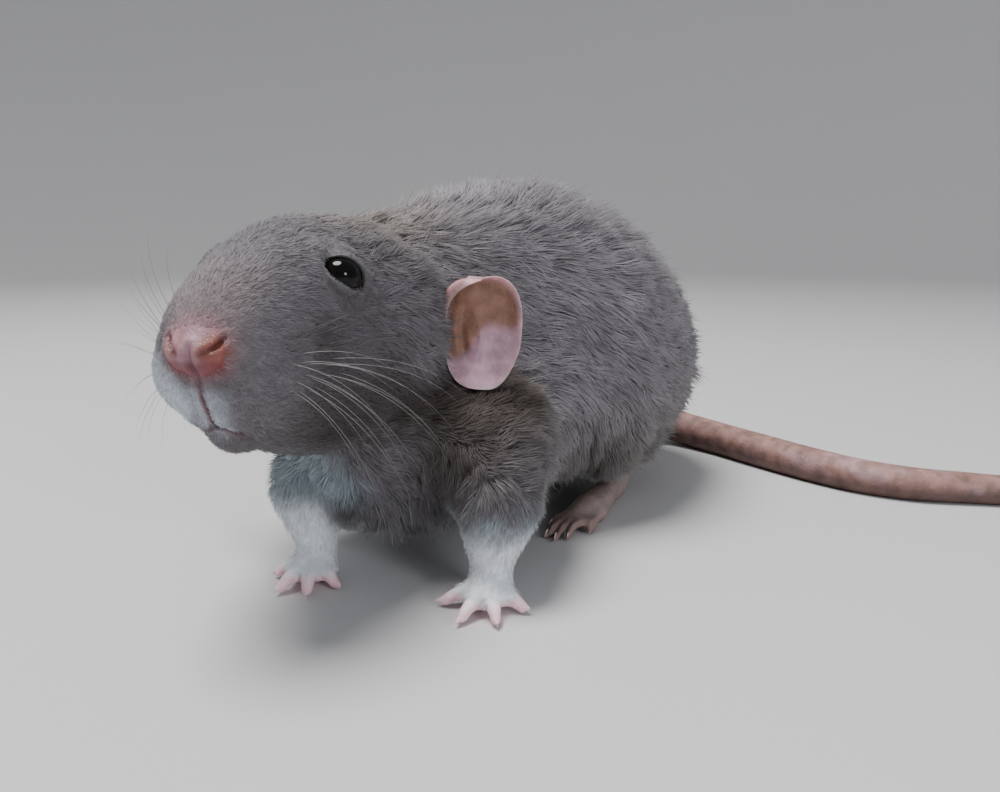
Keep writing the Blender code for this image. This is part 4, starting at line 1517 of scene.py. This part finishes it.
@dataclass(frozen=True)
class Ears:
    """Two thin, cupped, round ears set low on the head, on the solids' own places.

    Each lies on a grid of rings from its middle out to the rim, and of spokes round it.
    """

    back: float = 39.0
    side: float = 21.1
    up: float = -2.6
    sweep: float = math.radians(24.0)
    wide: float = 14.0
    tall: float = 19.6
    cup: float = 2.6
    thick: float = 0.38
    rings: int = 28
    spokes: int = 76
    fold: float = 2.5
    fold_at: float = 2.28
    fold_width: float = 0.7
    tuck: float = 3.5
    corner: float = 0.12
    mauve: Colour = (0.58, 0.37, 0.455)
    brown: Colour = (0.30, 0.155, 0.11)
    lap: Colour = (0.62, 0.37, 0.39)
    rim: Colour = (0.60, 0.45, 0.42)
    back_dim: Colour = (0.82, 0.85, 0.9)

    def shell(self, side: Side) -> Shell:
        """One ear as a closed shell with a rounded rim, folds by its root and a rolled front edge.

        Args:
            side: Which ear.

        Returns:
            The shell.
        """
        share = 1.0 - (1.0 - np.linspace(0.0, 1.0, self.rings + 1)[1:][:, None]) ** 1.5
        angle = (np.arange(self.spokes) * 2 * math.pi / self.spokes)[None, :]
        inner, face = self.inside(side, share, angle)
        normal = self.normals(inner, face)
        rim = ease(1.0, 0.86, np.concatenate(([0.0], np.repeat(share[:, 0], self.spokes))))
        outer = inner - normal * (self.thick * (0.55 + 0.75 * rim))[:, None]
        points = RAT.from_head(np.vstack((inner, outer)))
        faces = self.faces(len(inner))
        if side is Side.RIGHT:
            flipped = faces.copy()
            flipped[:, :3] = faces[:, 2::-1]
            four = faces[:, 3] >= 0
            flipped[four] = faces[four][:, ::-1]
            faces = flipped
        return Shell(points, faces, np.full(len(faces), Bare.EAR.value), self.tint(share, angle))

    def inside(self, side: Side, share: np.ndarray,
               angle: np.ndarray) -> tuple[np.ndarray, np.ndarray]:
        """The cup's inner surface, in the head's measure.

        Args:
            side: Which ear.
            share: Distance of each ring from the middle, as a share of the rim's.
            angle: Direction of each spoke.

        Returns:
            The middle and then ring after ring of points, and the direction that the ear faces.
        """
        sign = side.value
        out = np.array((sign * math.cos(self.sweep), math.sin(self.sweep), 0.0))
        face = np.array((sign * math.sin(self.sweep), -math.cos(self.sweep), 0.12))
        face /= np.linalg.norm(face)
        up = np.array((0.0, 0.0, 1.0))
        root = np.array((sign * self.side, self.back, self.up))
        middle = root + out * (self.wide * 0.46) + up * 0.85
        c, s = np.cos(angle), np.sin(angle)
        power = 2.5 + 1.0 * ease(0.1, -0.4, c)
        square = (np.abs(c) ** power + np.abs(s) ** power) ** (-1 / power)
        rolled = self.rolled(angle)
        square = square * (1.0 + self.corner * rolled)
        lean = 1.0 - 0.15 * ease(-0.15, -0.9, s) * ease(-0.2, 0.4, c)
        wide = self.wide * 0.47 * c * square * (1.0 + 0.10 * s) * lean * share
        tall = self.tall * 0.5 * s * square * (1.0 + 0.05 * c) * share
        cup = self.cup * (1.0 - share ** 2.4)
        roll = 0.9 * np.maximum(0.0, share - 0.75) * 4.0 * np.maximum(0.0, s) ** 2
        lap = np.maximum(0.0, share - 0.9) * 10.0
        curl = rolled * np.sin(ease(0.80, 1.0, share) * math.pi * 0.62)
        folds = 0.42 * np.sin(share * 15.0 + 2.4 * c + 1.5 * s)
        folds = folds * groove(share - 0.5, 0.26) * ease(-0.1, 0.8, -c * 0.9)
        wave = 0.22 * np.sin(3.0 * angle + sign) * ease(0.6, 1.0, share)
        tuck = self.tuck * share * ease(-0.3, -0.95, c)
        forward = roll - cup + folds + wave + curl - tuck
        spread = 1.0 - rolled * lap * (0.1 + self.fold / self.tall * 1.15) / share
        spots = (middle + out * (wide * spread)[..., None] + up * (tall * spread)[..., None]
                 + face * forward[..., None])
        return np.vstack(((middle - face * self.cup)[None, :], spots.reshape(-1, 3))), face

    def faces(self, n: int) -> np.ndarray:
        """Faces of a left ear: the inside, the rim and the back.

        Args:
            n: Number of points of the inside, after which those of the back follow.

        Returns:
            Rows of corners.
        """
        j = np.arange(self.spokes)
        k = (j + 1) % self.spokes
        none = np.full(self.spokes, -1)
        fan = np.stack((np.zeros(self.spokes, int), 1 + j, 1 + k, none), 1)
        quads = 1 + grid(self.rings, self.spokes)
        last = 1 + (self.rings - 1) * self.spokes
        wall = np.stack((last + j, n + last + j, n + last + k, last + k), 1)
        back_fan = np.stack((np.full(self.spokes, n), n + 1 + k, n + 1 + j, none), 1)
        return np.vstack((fan, quads, wall, back_fan, n + quads[:, ::-1]))

    def rolled(self, angle: np.ndarray) -> np.ndarray:
        """How far the rim is folded over at an angle: most at the top of the front edge."""
        turn = np.abs((angle - self.fold_at + math.pi) % (2 * math.pi) - math.pi)
        return groove(turn, self.fold_width)

    def normals(self, inner: np.ndarray, face: np.ndarray) -> np.ndarray:
        """Directions in which the cup's surface looks, from its own grid.

        Args:
            inner: Points of the inside.
            face: Direction that the ear faces.

        Returns:
            One direction for each point.
        """
        cells = inner[1:].reshape(self.rings, self.spokes, 3)
        around = np.roll(cells, -1, axis=1) - np.roll(cells, 1, axis=1)
        along = np.gradient(cells, axis=0)
        found = unit(np.cross(along.reshape(-1, 3), around.reshape(-1, 3)))
        found *= np.where(found @ face < 0, -1.0, 1.0)[:, None]
        return np.vstack((face[None, :], found))

    def tint(self, share: np.ndarray, angle: np.ndarray) -> np.ndarray:
        """Mauve below, warm brown above where light comes through, with a pale rim.

        Args:
            share: Distance of each ring from the middle, as a share of the rim's.
            angle: Direction of each spoke.

        Returns:
            One colour for each point of the inside and then of the back.
        """
        shape = (self.rings, self.spokes)
        up = (np.sin(angle) * share).ravel()
        c = (np.cos(angle) * share).ravel()
        rim = np.broadcast_to(share, shape).ravel()
        rolled = np.broadcast_to(self.rolled(angle), shape).ravel()
        colour = np.tile(np.array(self.mauve), (len(up), 1))
        shade = ease(0.0, 0.24, up + 0.55 * ease(0.2, -0.6, c) + 0.06 * ease(0.1, 0.8, c))
        colour = mixed(colour, self.brown, shade * ease(1.02, 0.86, rim))
        colour = mixed(colour, self.lap, ease(0.86, 0.92, rim) * ease(0.1, 0.5, rolled))
        colour = mixed(colour, self.rim, ease(0.94, 1.0, rim) * 0.5)
        inner = np.vstack((colour[:1], colour))
        return np.vstack((inner, inner * np.array(self.back_dim)))


@dataclass(frozen=True)
class Tail:
    """The long ringed tail, from inside the rump to its tip, along the solids' own route."""

    base: float = 9.6
    tip: float = 2.2
    rings: int = 560
    sides: int = 24
    ring_height: float = 0.012
    lowest: float = 0.03
    pink: Colour = (0.36, 0.205, 0.182)
    pale: Colour = (0.40, 0.255, 0.275)
    brown: Colour = (0.20, 0.125, 0.10)
    # Painted shade of the tail's underside.
    under: Colour = (0.095, 0.05, 0.04)
    route: tuple[Spot, ...] = (
        (0.0, 139.0, 16.0), (7.0, 150.0, 8.0), (20.0, 154.0, 1.6), (34.0, 149.5, 0.0),
        (47.0, 141.5, 0.0), (60.0, 134.0, 0.0), (72.0, 129.0, 0.0), (84.0, 128.0, 0.0),
        (96.0, 131.0, 0.0), (109.0, 134.5, 0.0), (123.0, 137.5, 0.0), (137.0, 138.0, 0.0),
        (151.0, 135.0, 0.0), (165.0, 128.0, 0.0))

    def station(self, share: float) -> tuple[float, float, float, float]:
        """Centre and radius at a share of the tail's length.

        Args:
            share: Place along it, from 0 to 1.

        Returns:
            x, y, z and radius.
        """
        x, y, lift = spline(self.route, share)
        slim = 1.0 - 0.24 * share - 0.76 * share ** 3.2
        radius = self.tip / 2 + (self.base - self.tip) / 2 * slim
        return x, y, lift + radius * 0.94, radius

    def shell(self) -> Shell:
        """Tail with a fine ring at every scale row, flattened a little where it lies.

        Returns:
            The shell.
        """
        stations = np.array([self.station(i / (self.rings - 1)) for i in range(self.rings)])
        even = np.arange(self.rings) % 2 == 0
        stations[:, 3] *= 1.0 + self.ring_height * np.where(even, 1.0, -1.0)
        stations[-3:, 3] *= (0.9, 0.7, 0.35)
        points, faces = tube(stations, self.sides)
        points[:, 2] = np.maximum(points[:, 2], self.lowest)
        colour = np.tile(np.array(self.pink), (len(points), 1))
        colour = mixed(colour, self.pale, ease(0.0, 0.8, ripple(points, 9.0, 21)) * 0.75)
        colour = mixed(colour, self.brown, ease(0.0, 0.9, ripple(points, 4.5, 22)) * 0.65)
        # Painted shade towards the end of the tail.
        colour *= (1.0 - 0.14 * ease(80.0, 130.0, points[:, 0]))[:, None]
        radius = np.append(np.repeat(stations[:, 3], self.sides), (1.0, 1.0))
        # Painted shade on the tail's underside and where it lies on the floor.
        colour = mixed(colour, self.under, ease(1.6, 0.5, points[:, 2] / radius) * 0.85)
        return Shell(points, faces, np.full(len(faces), Bare.TAIL.value), colour)


# Fur, whiskers and claws


@dataclass(frozen=True)
class Patch:
    """One piece of the coat: how many tufts, how wide, and where they grow.

    Attributes:
        name: Name of the piece.
        count: Number of tufts.
        width: Width of a tuft.
        gap: Distance between the middles of its clumps.
        low: Where it starts, from the nose back.
        high: Where it ends.
        side: Sign of the flank that it covers, or 0 for both.
    """

    name: str
    count: int
    width: float
    gap: float
    low: float
    high: float
    side: int = 0

    def chosen(self, middle: np.ndarray) -> np.ndarray:
        """Whether places on the skin belong to this piece.

        Args:
            middle: Places on the skin.

        Returns:
            True or False for each place.
        """
        along = COAT.face(middle)
        along = np.where(along < 52, along, np.maximum(middle[:, 1], 45.0))
        leg = LEGS.leg_mask(middle) > 0.35
        found = (along >= self.low) & (along < self.high)
        found &= leg if self.name == "coat_legs" else ~leg
        if self.side:
            split = -4.0 if self.high > 62 else -8.0
            found &= (middle[:, 0] - split) * self.side > 0
        return found


@dataclass
class Fur:
    """Thousands of thin, bent, closed tufts that follow the lie of the coat."""

    seed: int = 7
    patch_width: float = 0.003
    small_gap: float = 1.2
    root_tone: float = 0.58
    bend_tone: float = 0.90
    tip_tone: float = 1.18
    guard_share: float = 0.05
    low_lift: float = math.radians(5.0)
    high_lift: float = math.radians(55.0)
    guard_lift: float = math.radians(9.0)
    tip_lift: float = math.radians(7.0)
    patches: tuple[Patch, ...] = (
        Patch("coat_muzzle", 28000, 0.13, 0.7, -5.0, 11.0),
        Patch("coat_face", 32000, 0.17, 0.8, 11.0, 25.0),
        Patch("coat_cheeks", 32000, 0.22, 1.5, 25.0, 39.0),
        Patch("coat_nape_left", 20000, 0.27, 1.7, 39.0, 62.0, 1),
        Patch("coat_nape_right", 16000, 0.29, 1.7, 39.0, 62.0, -1),
        Patch("coat_flank_left", 33000, 0.27, 1.9, 62.0, 105.0, 1),
        Patch("coat_flank_right", 22000, 0.32, 1.9, 62.0, 105.0, -1),
        Patch("coat_rump_left", 28000, 0.28, 1.9, 105.0, 200.0, 1),
        Patch("coat_rump_right", 18000, 0.33, 1.9, 105.0, 200.0, -1),
        Patch("coat_legs", 20000, 0.15, 0.8, -99.0, 200.0),
    )

    def samples(self, skin: bpy.types.Object, corners: np.ndarray) -> dict[str, np.ndarray]:
        """Triangles of the skin with what each tuft needs from them.

        Args:
            skin: The one skin.
            corners: Places on the map, for each corner of each face.

        Returns:
            Points, normals, and for each triangle its points, corners, furred area and middle.
        """
        data = skin.data
        data.calc_loop_triangles()
        triangles = data.loop_triangles
        verts = read(triangles, "vertices", 3, np.int32)
        owner = read(triangles, "polygon_index", 1, np.int32)
        slots = read(data.polygons, "material_index", 1, np.int32)
        points = RAT.rat(read(data.vertices, "co", 3))
        a, b, c = (points[verts[:, i]] for i in range(3))
        area = np.linalg.norm(np.cross(b - a, c - a), axis=1) / 2
        area[slots[owner] != Bare.FURRED.value] = 0.0
        return {"points": points, "normals": read(data.vertices, "normal", 3), "verts": verts,
                "loops": read(triangles, "loops", 3, np.int32), "area": area,
                "middle": (a + b + c) / 3, "corners": corners}

    def roots(self, skin: dict[str, np.ndarray], patch: Patch,
              rng: np.random.Generator) -> tuple[np.ndarray, np.ndarray, np.ndarray, float]:
        """Random roots of one patch.

        Args:
            skin: What samples gave.
            patch: The patch.
            rng: Source of the places.

        Returns:
            Places, normals and places on the map of the roots, and the patch's area.
        """
        middle = skin["middle"]
        weight = skin["area"] * patch.chosen(middle)
        area = weight.sum()
        total = np.cumsum(weight * (1.0 - COAT.bare(middle)))
        chosen = np.searchsorted(total, rng.uniform(0, total[-1], patch.count))
        one, two = rng.uniform(size=(2, patch.count))
        swap = one + two > 1
        one[swap], two[swap] = 1 - one[swap], 1 - two[swap]
        share = np.stack((1 - one - two, one, two), 1)[:, :, None]
        verts, loops = skin["verts"][chosen], skin["loops"][chosen]
        points = (skin["points"][verts] * share).sum(1)
        normals = unit((skin["normals"][verts] * share).sum(1))
        return points, normals, (skin["corners"][loops] * share).sum(1), area

    def leaders(self, points: np.ndarray, clumps: int, rng: np.random.Generator) -> np.ndarray:
        """Choose the root that leads each root's clump.

        Args:
            points: Places of the roots.
            clumps: How many clumps there are.
            rng: Source of the choice.

        Returns:
            Index of the leader for each root.
        """
        order = rng.permutation(len(points))[:max(8, clumps)]
        tree = KDTree(len(order))
        for i, which in enumerate(order):
            tree.insert(points[which], i)
        tree.balance()
        return np.array([order[tree.find(spot)[1]] for spot in points])

    def tufts(self, points: np.ndarray, normals: np.ndarray, lead: np.ndarray, patch: Patch,
              rng: np.random.Generator) -> tuple[np.ndarray, np.ndarray, np.ndarray]:
        """Shape all tufts of a patch, each with a root, three points at its bend, and a tip.

        Args:
            points: Roots on the skin.
            normals: The skin's normals there.
            lead: Index of the root that leads each root's clump.
            patch: The patch.
            rng: Source of the variation.

        Returns:
            Points, soft normals and tints, five rows for each tuft.
        """
        count = len(points)
        calm = patch.gap < self.small_gap
        own = rng.normal(size=(6, count))
        together = rng.normal(size=(4, count))[:, lead] * (0.6 if calm else 1.0)
        way = COAT.flow(points, normals)
        turn = np.radians(12.0 * together[0] + 12.0 * own[0])[:, None]
        way = way * np.cos(turn) + np.cross(normals, way) * np.sin(turn)
        full = COAT.length(points)
        long = full * (1.0 + 0.10 * together[1]) * rng.uniform(0.70, 1.15, count)
        lift = COAT.lift(points, normals) + np.radians(4.5 * together[2] + 4.5 * own[1])
        lift = np.clip(lift, self.low_lift, self.high_lift)
        guard = (rng.uniform(size=count) < self.guard_share) * ease(3.0, 7.0, long)
        long = long * (1.0 + 0.16 * guard)
        lift = lift + self.guard_lift * guard
        sunk = np.clip(0.05 * long, 0.05, 0.3)

        def step(angle: np.ndarray, share: float) -> np.ndarray:
            """Way along a share of each tuft, at an angle from the skin."""
            reach = (long * share)[:, None]
            return (way * np.cos(angle)[:, None] + normals * np.sin(angle)[:, None]) * reach

        root = points - normals * sunk[:, None]
        bend = root + step(lift + np.radians(np.where(long < 4.5, 5.0, 8.0)), 0.42)
        tip = bend + step(lift - self.tip_lift, 0.58)
        apart = np.linalg.norm(points[lead] - points, axis=1)
        pull = (0.22 + 0.32 * rng.uniform(size=count)) * (apart < patch.gap * 1.6)
        pull *= 0.5 if calm else 1.0
        tip = tip + (tip[lead] - tip) * (pull * (1 - guard))[:, None]
        bend = bend + (bend[lead] - bend) * (pull * 0.35 * (1 - guard))[:, None]
        slim = np.clip(long / full.max() + 0.25, 0.4, 1.0)
        wide = patch.width * slim * rng.uniform(0.75, 1.2, count) * (1.0 - 0.35 * guard) * 0.5
        axis = unit(tip - root)
        side = unit(np.cross(axis, normals))
        rise = np.cross(axis, side)
        spin = rng.uniform(0, 2 * math.pi, count)
        places, soft = [root], [normals]
        for i in range(3):
            a = (spin + i * 2 * math.pi / 3)[:, None]
            spoke = side * np.cos(a) + rise * np.sin(a)
            places.append(bend + spoke * wide[:, None])
            soft.append(unit(normals * 1.15 + spoke))
        places.append(tip)
        soft.append(unit(normals + axis * 0.25))
        shade = np.exp(0.12 * own[2] + 0.10 * together[3]) * (1.0 - 0.25 * guard)
        colour = COAT.tint(points) * shade[:, None]
        tones = (self.root_tone, *[self.bend_tone] * 3, self.tip_tone)
        return tuple(np.stack(rows, 1).reshape(-1, 3)
                     for rows in (places, soft, [colour * tone for tone in tones]))

    def build(self, skin: bpy.types.Object, corners: np.ndarray,
              material: bpy.types.Material) -> None:
        """Grow every patch of the coat on the skin.

        Args:
            skin: The one skin.
            corners: The map of its own shape, for each corner of each face.
            material: The coat's material.
        """
        samples = self.samples(skin, corners)
        pattern = np.array(((0, 2, 1), (0, 3, 2), (0, 1, 3), (1, 2, 4), (2, 3, 4), (3, 1, 4)))
        w = self.patch_width
        spots = np.array(((w / 2, 0), (0, w / 3), (w / 2, w / 2), (w, w / 3), (w / 2, w)))
        for i, patch in enumerate(self.patches):
            rng = np.random.default_rng(self.seed + i)
            points, normals, places, area = self.roots(samples, patch, rng)
            lead = self.leaders(points, int(area / patch.gap ** 2), rng)
            verts, soft, tint = self.tufts(points, normals, lead, patch, rng)
            faces = (pattern[None] + np.arange(patch.count)[:, None, None] * 5).reshape(-1, 3)
            data = build_mesh(patch.name, RAT.row(verts), faces)
            data.normals_split_custom_set_from_vertices(soft.astype(np.float32))
            add_tint(data, tint)
            layer = data.uv_layers.new(name="OFBake")
            uv = (np.minimum(places, 1.0 - w)[:, None, :] + spots[None]).reshape(-1, 2)
            layer.data.foreach_set("uv", uv[faces.ravel()].astype(np.float32).ravel())
            place(patch.name, data, [material], "coat")
            log.info("%s: %.0f square mm, %.1f tufts each", patch.name, area, patch.count / area)


@dataclass(frozen=True)
class Whiskers:
    """Long whiskers in rows on both muzzle pads."""

    rows: int = 5
    columns: int = 6
    seed: int = 19
    thick: float = 0.095
    sunk: float = 0.4
    outside: float = 20.0
    sag: Spot = (-0.40, 0.42, -0.42)
    dark: Colour = (0.05, 0.04, 0.04)
    pale: Colour = (0.31, 0.29, 0.29)

    def hair(self, root: np.ndarray, way: np.ndarray, droop: np.ndarray,
             long: float) -> tuple[np.ndarray, np.ndarray]:
        """One tapered, curved hair.

        Args:
            root: Where it starts.
            way: Direction in which it leaves the skin.
            droop: Direction in which it bends.
            long: Its length.

        Returns:
            Points and faces.
        """
        share = np.linspace(0.0, 1.0, 12)[:, None]
        centre = root + way * (share * long) + droop * (share ** 2 * long)
        radius = self.thick / 2 * (1.0 - 0.88 * share)
        return tube(np.hstack((centre, radius)), 5, up=(0.13, 0.21, 0.97))

    def grow(self, tree: BVHTree, side: Side, row: int, column: int,
             rng: np.random.Generator) -> tuple[tuple[np.ndarray, np.ndarray], np.ndarray]:
        """One whisker in its row and column.

        Args:
            tree: The skin's faces, for the place of the root.
            side: Which side of the muzzle.
            row: Its row, from the top.
            column: Its column, from the front.
            rng: Source of the variation.

        Returns:
            Its points and faces, and its tint.
        """
        sign = side.value
        up = 1.2 - 1.7 * row + 0.25 * rng.normal() - 0.12 * column
        back = 6.2 + 1.9 * column + 0.7 * (row % 2) + 0.35 * rng.normal()
        start = RAT.from_head(np.array((sign * self.outside, back, up)))
        inward = Vector(RAT.turn() @ np.array((-sign, 0.0, 0.0)))
        root = RAT.rat(np.array(tree.ray_cast(Vector(RAT.row(start)), inward)[0]))
        level = 0.72 - 0.36 * row + 0.08 * rng.normal() + 0.35 * (side is Side.RIGHT) * (row < 3)
        way = np.array((sign * 1.0, 0.15 + 0.13 * column + 0.06 * rng.normal(), level * 0.8))
        way = RAT.turn() @ (way / np.linalg.norm(way))
        bent = 0.35 if side is Side.RIGHT else 1.0
        sag = np.array((sign * self.sag[0], self.sag[1], self.sag[2] - 0.05 * row))
        long = (18.0 + 4.2 * column) * rng.uniform(0.85, 1.1) * (1.0 - 0.05 * row)
        part = self.hair(root - way * self.sunk, way, RAT.turn() @ (bent * sag), long)
        colour = self.dark if row < 2 and rng.uniform() < 0.75 else self.pale
        return part, np.tile(np.array(colour), (len(part[0]), 1))

    def build(self, skin: bpy.types.Object, material: bpy.types.Material) -> None:
        """Set all whiskers on the skin as one piece for each side.

        Args:
            skin: The one skin.
            material: The whiskers' material.
        """
        tree = BVHTree.FromObject(skin, bpy.context.evaluated_depsgraph_get())
        rng = np.random.default_rng(self.seed)
        for side in Side:
            grown = [self.grow(tree, side, row, column, rng)
                     for row in range(self.rows) for column in range(self.columns)
                     if row not in (0, self.rows - 1) or column < self.columns - 1]
            points, faces = joined([part for part, _ in grown])
            data = build_mesh("whiskers", RAT.row(points), faces)
            add_tint(data, np.vstack([tint for _, tint in grown]))
            place("whiskers_" + side.name.lower(), data, [material], "coat")


@dataclass(frozen=True)
class Claws:
    """Small curved claws at the ends of all toes."""

    length: float = 1.2
    thick: float = 0.5
    rings: int = 9
    high: float = 1.75
    drop: float = 1.25

    def claw(self, middle: np.ndarray, ahead: np.ndarray,
             reach: float) -> tuple[np.ndarray, np.ndarray]:
        """One claw at the end of a toe.

        Args:
            middle: Middle of the foot.
            ahead: Direction of the toe.
            reach: Distance of the toe's tip from the middle.

        Returns:
            Points and faces.
        """
        tip = middle + ahead * reach
        stations = []
        for i in range(self.rings):
            share = i / (self.rings - 1)
            rise = np.array((0, 0, self.high - self.drop * share ** 1.6))
            spot = tip + ahead * (-1.0 + self.length * share) + rise
            stations.append((*spot, self.thick / 2 * (1.0 - 0.86 * share ** 1.5)))
        points, faces = tube(np.array(stations), 10, flat=1.15)
        return LEGS.gather(points), faces

    def build(self, material: bpy.types.Material) -> None:
        """Make all claws as one piece."""
        points, faces = joined([self.claw(*toe) for toe in LEGS.toes()])
        place("claws", build_mesh("claws", RAT.row(points), faces), [material], "foot_skin")


@dataclass(frozen=True)
class Lamp:
    """One soft round lamp, aimed at a point, in metres."""

    name: str
    spot: Spot
    size: float
    power: float
    colour: Colour
    aim: Spot = (0.0, 0.0, 0.03)

    def build(self) -> None:
        """Set the lamp."""
        data = bpy.data.lights.new(self.name, "AREA")
        data.shape = "DISK"
        data.size = self.size
        data.energy = self.power
        data.color = self.colour
        made = link(self.name, data)
        made.matrix_world = aimed(Vector(self.aim) - Vector(self.spot), Vector(self.spot))


@dataclass(frozen=True)
class Studio:
    """Pale floor with a sweep behind, soft lights, and the camera at the photograph's view."""

    spot: Spot = (71.0, -75.5, 63.0)
    azimuth: float = math.radians(25.0)
    down: float = math.radians(12.0)
    lens: float = 28.44
    sensor: float = 36.0
    flat: float = 1.0
    bend: float = 0.6
    wall: float = 0.9
    surround: tuple[float, float, float, float] = (0.80, 0.82, 0.85, 1.0)
    surround_power: float = 0.40
    lamps: tuple[Lamp, ...] = (
        Lamp("key", (-0.22, -0.16, 0.86), 0.42, 11.0, (1.0, 0.98, 0.96), (-0.02, 0.0, 0.03)),
        Lamp("fill", (0.76, -0.46, 0.36), 0.24, 2.7, (0.93, 0.96, 1.0)),
    )

    def camera(self) -> None:
        """Set the camera."""
        data = bpy.data.cameras.new("view")
        data.sensor_width = self.sensor
        data.lens = self.lens
        data.clip_start = MM
        level = math.cos(self.down)
        look = Vector((-math.sin(self.azimuth) * level, math.cos(self.azimuth) * level,
                       -math.sin(self.down)))
        eye = link("view", data)
        eye.matrix_world = aimed(look, Vector(RAT.row(self.spot)))
        bpy.context.scene.camera = eye

    def floor(self) -> None:
        """Pale floor that curves up all round into a low wall."""
        profile = [(0.0, 0.0), (0.4, 0.0), (self.flat, 0.0)]
        profile += [(self.flat + self.bend * math.sin(a), self.bend - self.bend * math.cos(a))
                    for a in (math.radians(9 * i) for i in range(1, 11))]
        profile.append((self.flat + self.bend, self.wall))
        shape = bmesh.new()
        row = [shape.verts.new((radius, 0.0, height)) for radius, height in profile]
        edges = [shape.edges.new(pair) for pair in zip(row, row[1:])]
        bmesh.ops.spin(shape, geom=row + edges, cent=(0, 0, 0), axis=(0, 0, 1), steps=96,
                       angle=2 * math.pi)
        bmesh.ops.remove_doubles(shape, verts=shape.verts, dist=0.0001)
        bmesh.ops.recalc_face_normals(shape, faces=shape.faces)
        data = bpy.data.meshes.new("floor")
        shape.to_mesh(data)
        shape.free()
        data.shade_smooth()
        data.materials.append(FloorFinish().material())
        link("floor", data)

    def light(self) -> None:
        """Soft light from above and from the front left, with an even surround."""
        world = bpy.data.worlds.new("surround")
        world.use_nodes = True
        settle(world.node_tree.nodes["Background"], Color=self.surround,
               Strength=self.surround_power)
        bpy.context.scene.world = world
        for lamp in self.lamps:
            lamp.build()

    def build(self) -> None:
        """Set camera, floor and lights."""
        self.camera()
        self.floor()
        self.light()


FINISHES = [
    SkinFinish("furred_skin", cells=2600.0, mottle=0.15, bump=0.2, rough=0.8, flesh=0.0),
    SkinFinish("foot_skin", cells=1500.0, blotches=420.0, mottle=0.22, bump=0.5, rough=0.48,
               flesh=0.35),
    SkinFinish("nose_skin", cells=2400.0, blotches=700.0, mottle=0.18, bump=0.55, rough=0.42,
               flesh=0.08),
    SkinFinish("ear_skin", cells=1300.0, blotches=420.0, mottle=0.30, bump=0.5, rough=0.5,
               flesh=0.45),
    SkinFinish("tail_skin", cells=1250.0, blotches=330.0, mottle=0.35, bump=0.6, rough=0.55,
               flesh=0.2),
    SkinFinish("lid_skin", cells=2200.0, mottle=0.1, bump=0.3, rough=0.35, flesh=0.0),
]


def main() -> None:
    """Build the rat and its studio in order."""
    logging.basicConfig(level=logging.INFO, format="%(message)s")
    Studio().build()
    skin = Skin()
    ears = Ears()
    skin.shells = [skin.base(), skin.lids(), ears.shell(Side.LEFT), ears.shell(Side.RIGHT),
                   Tail().shell()]
    body = skin.join(FINISHES)
    corners = skin.unwrap()
    EYES.build(EyeFinish())
    Fur().build(body, corners, HairFinish("plush_coat").material())
    Whiskers().build(body, HairFinish("whisker", rough=0.35, sheen=0.0).material())
    Claws().build(HornFinish().material())


if __name__ == "__main__":
    main()
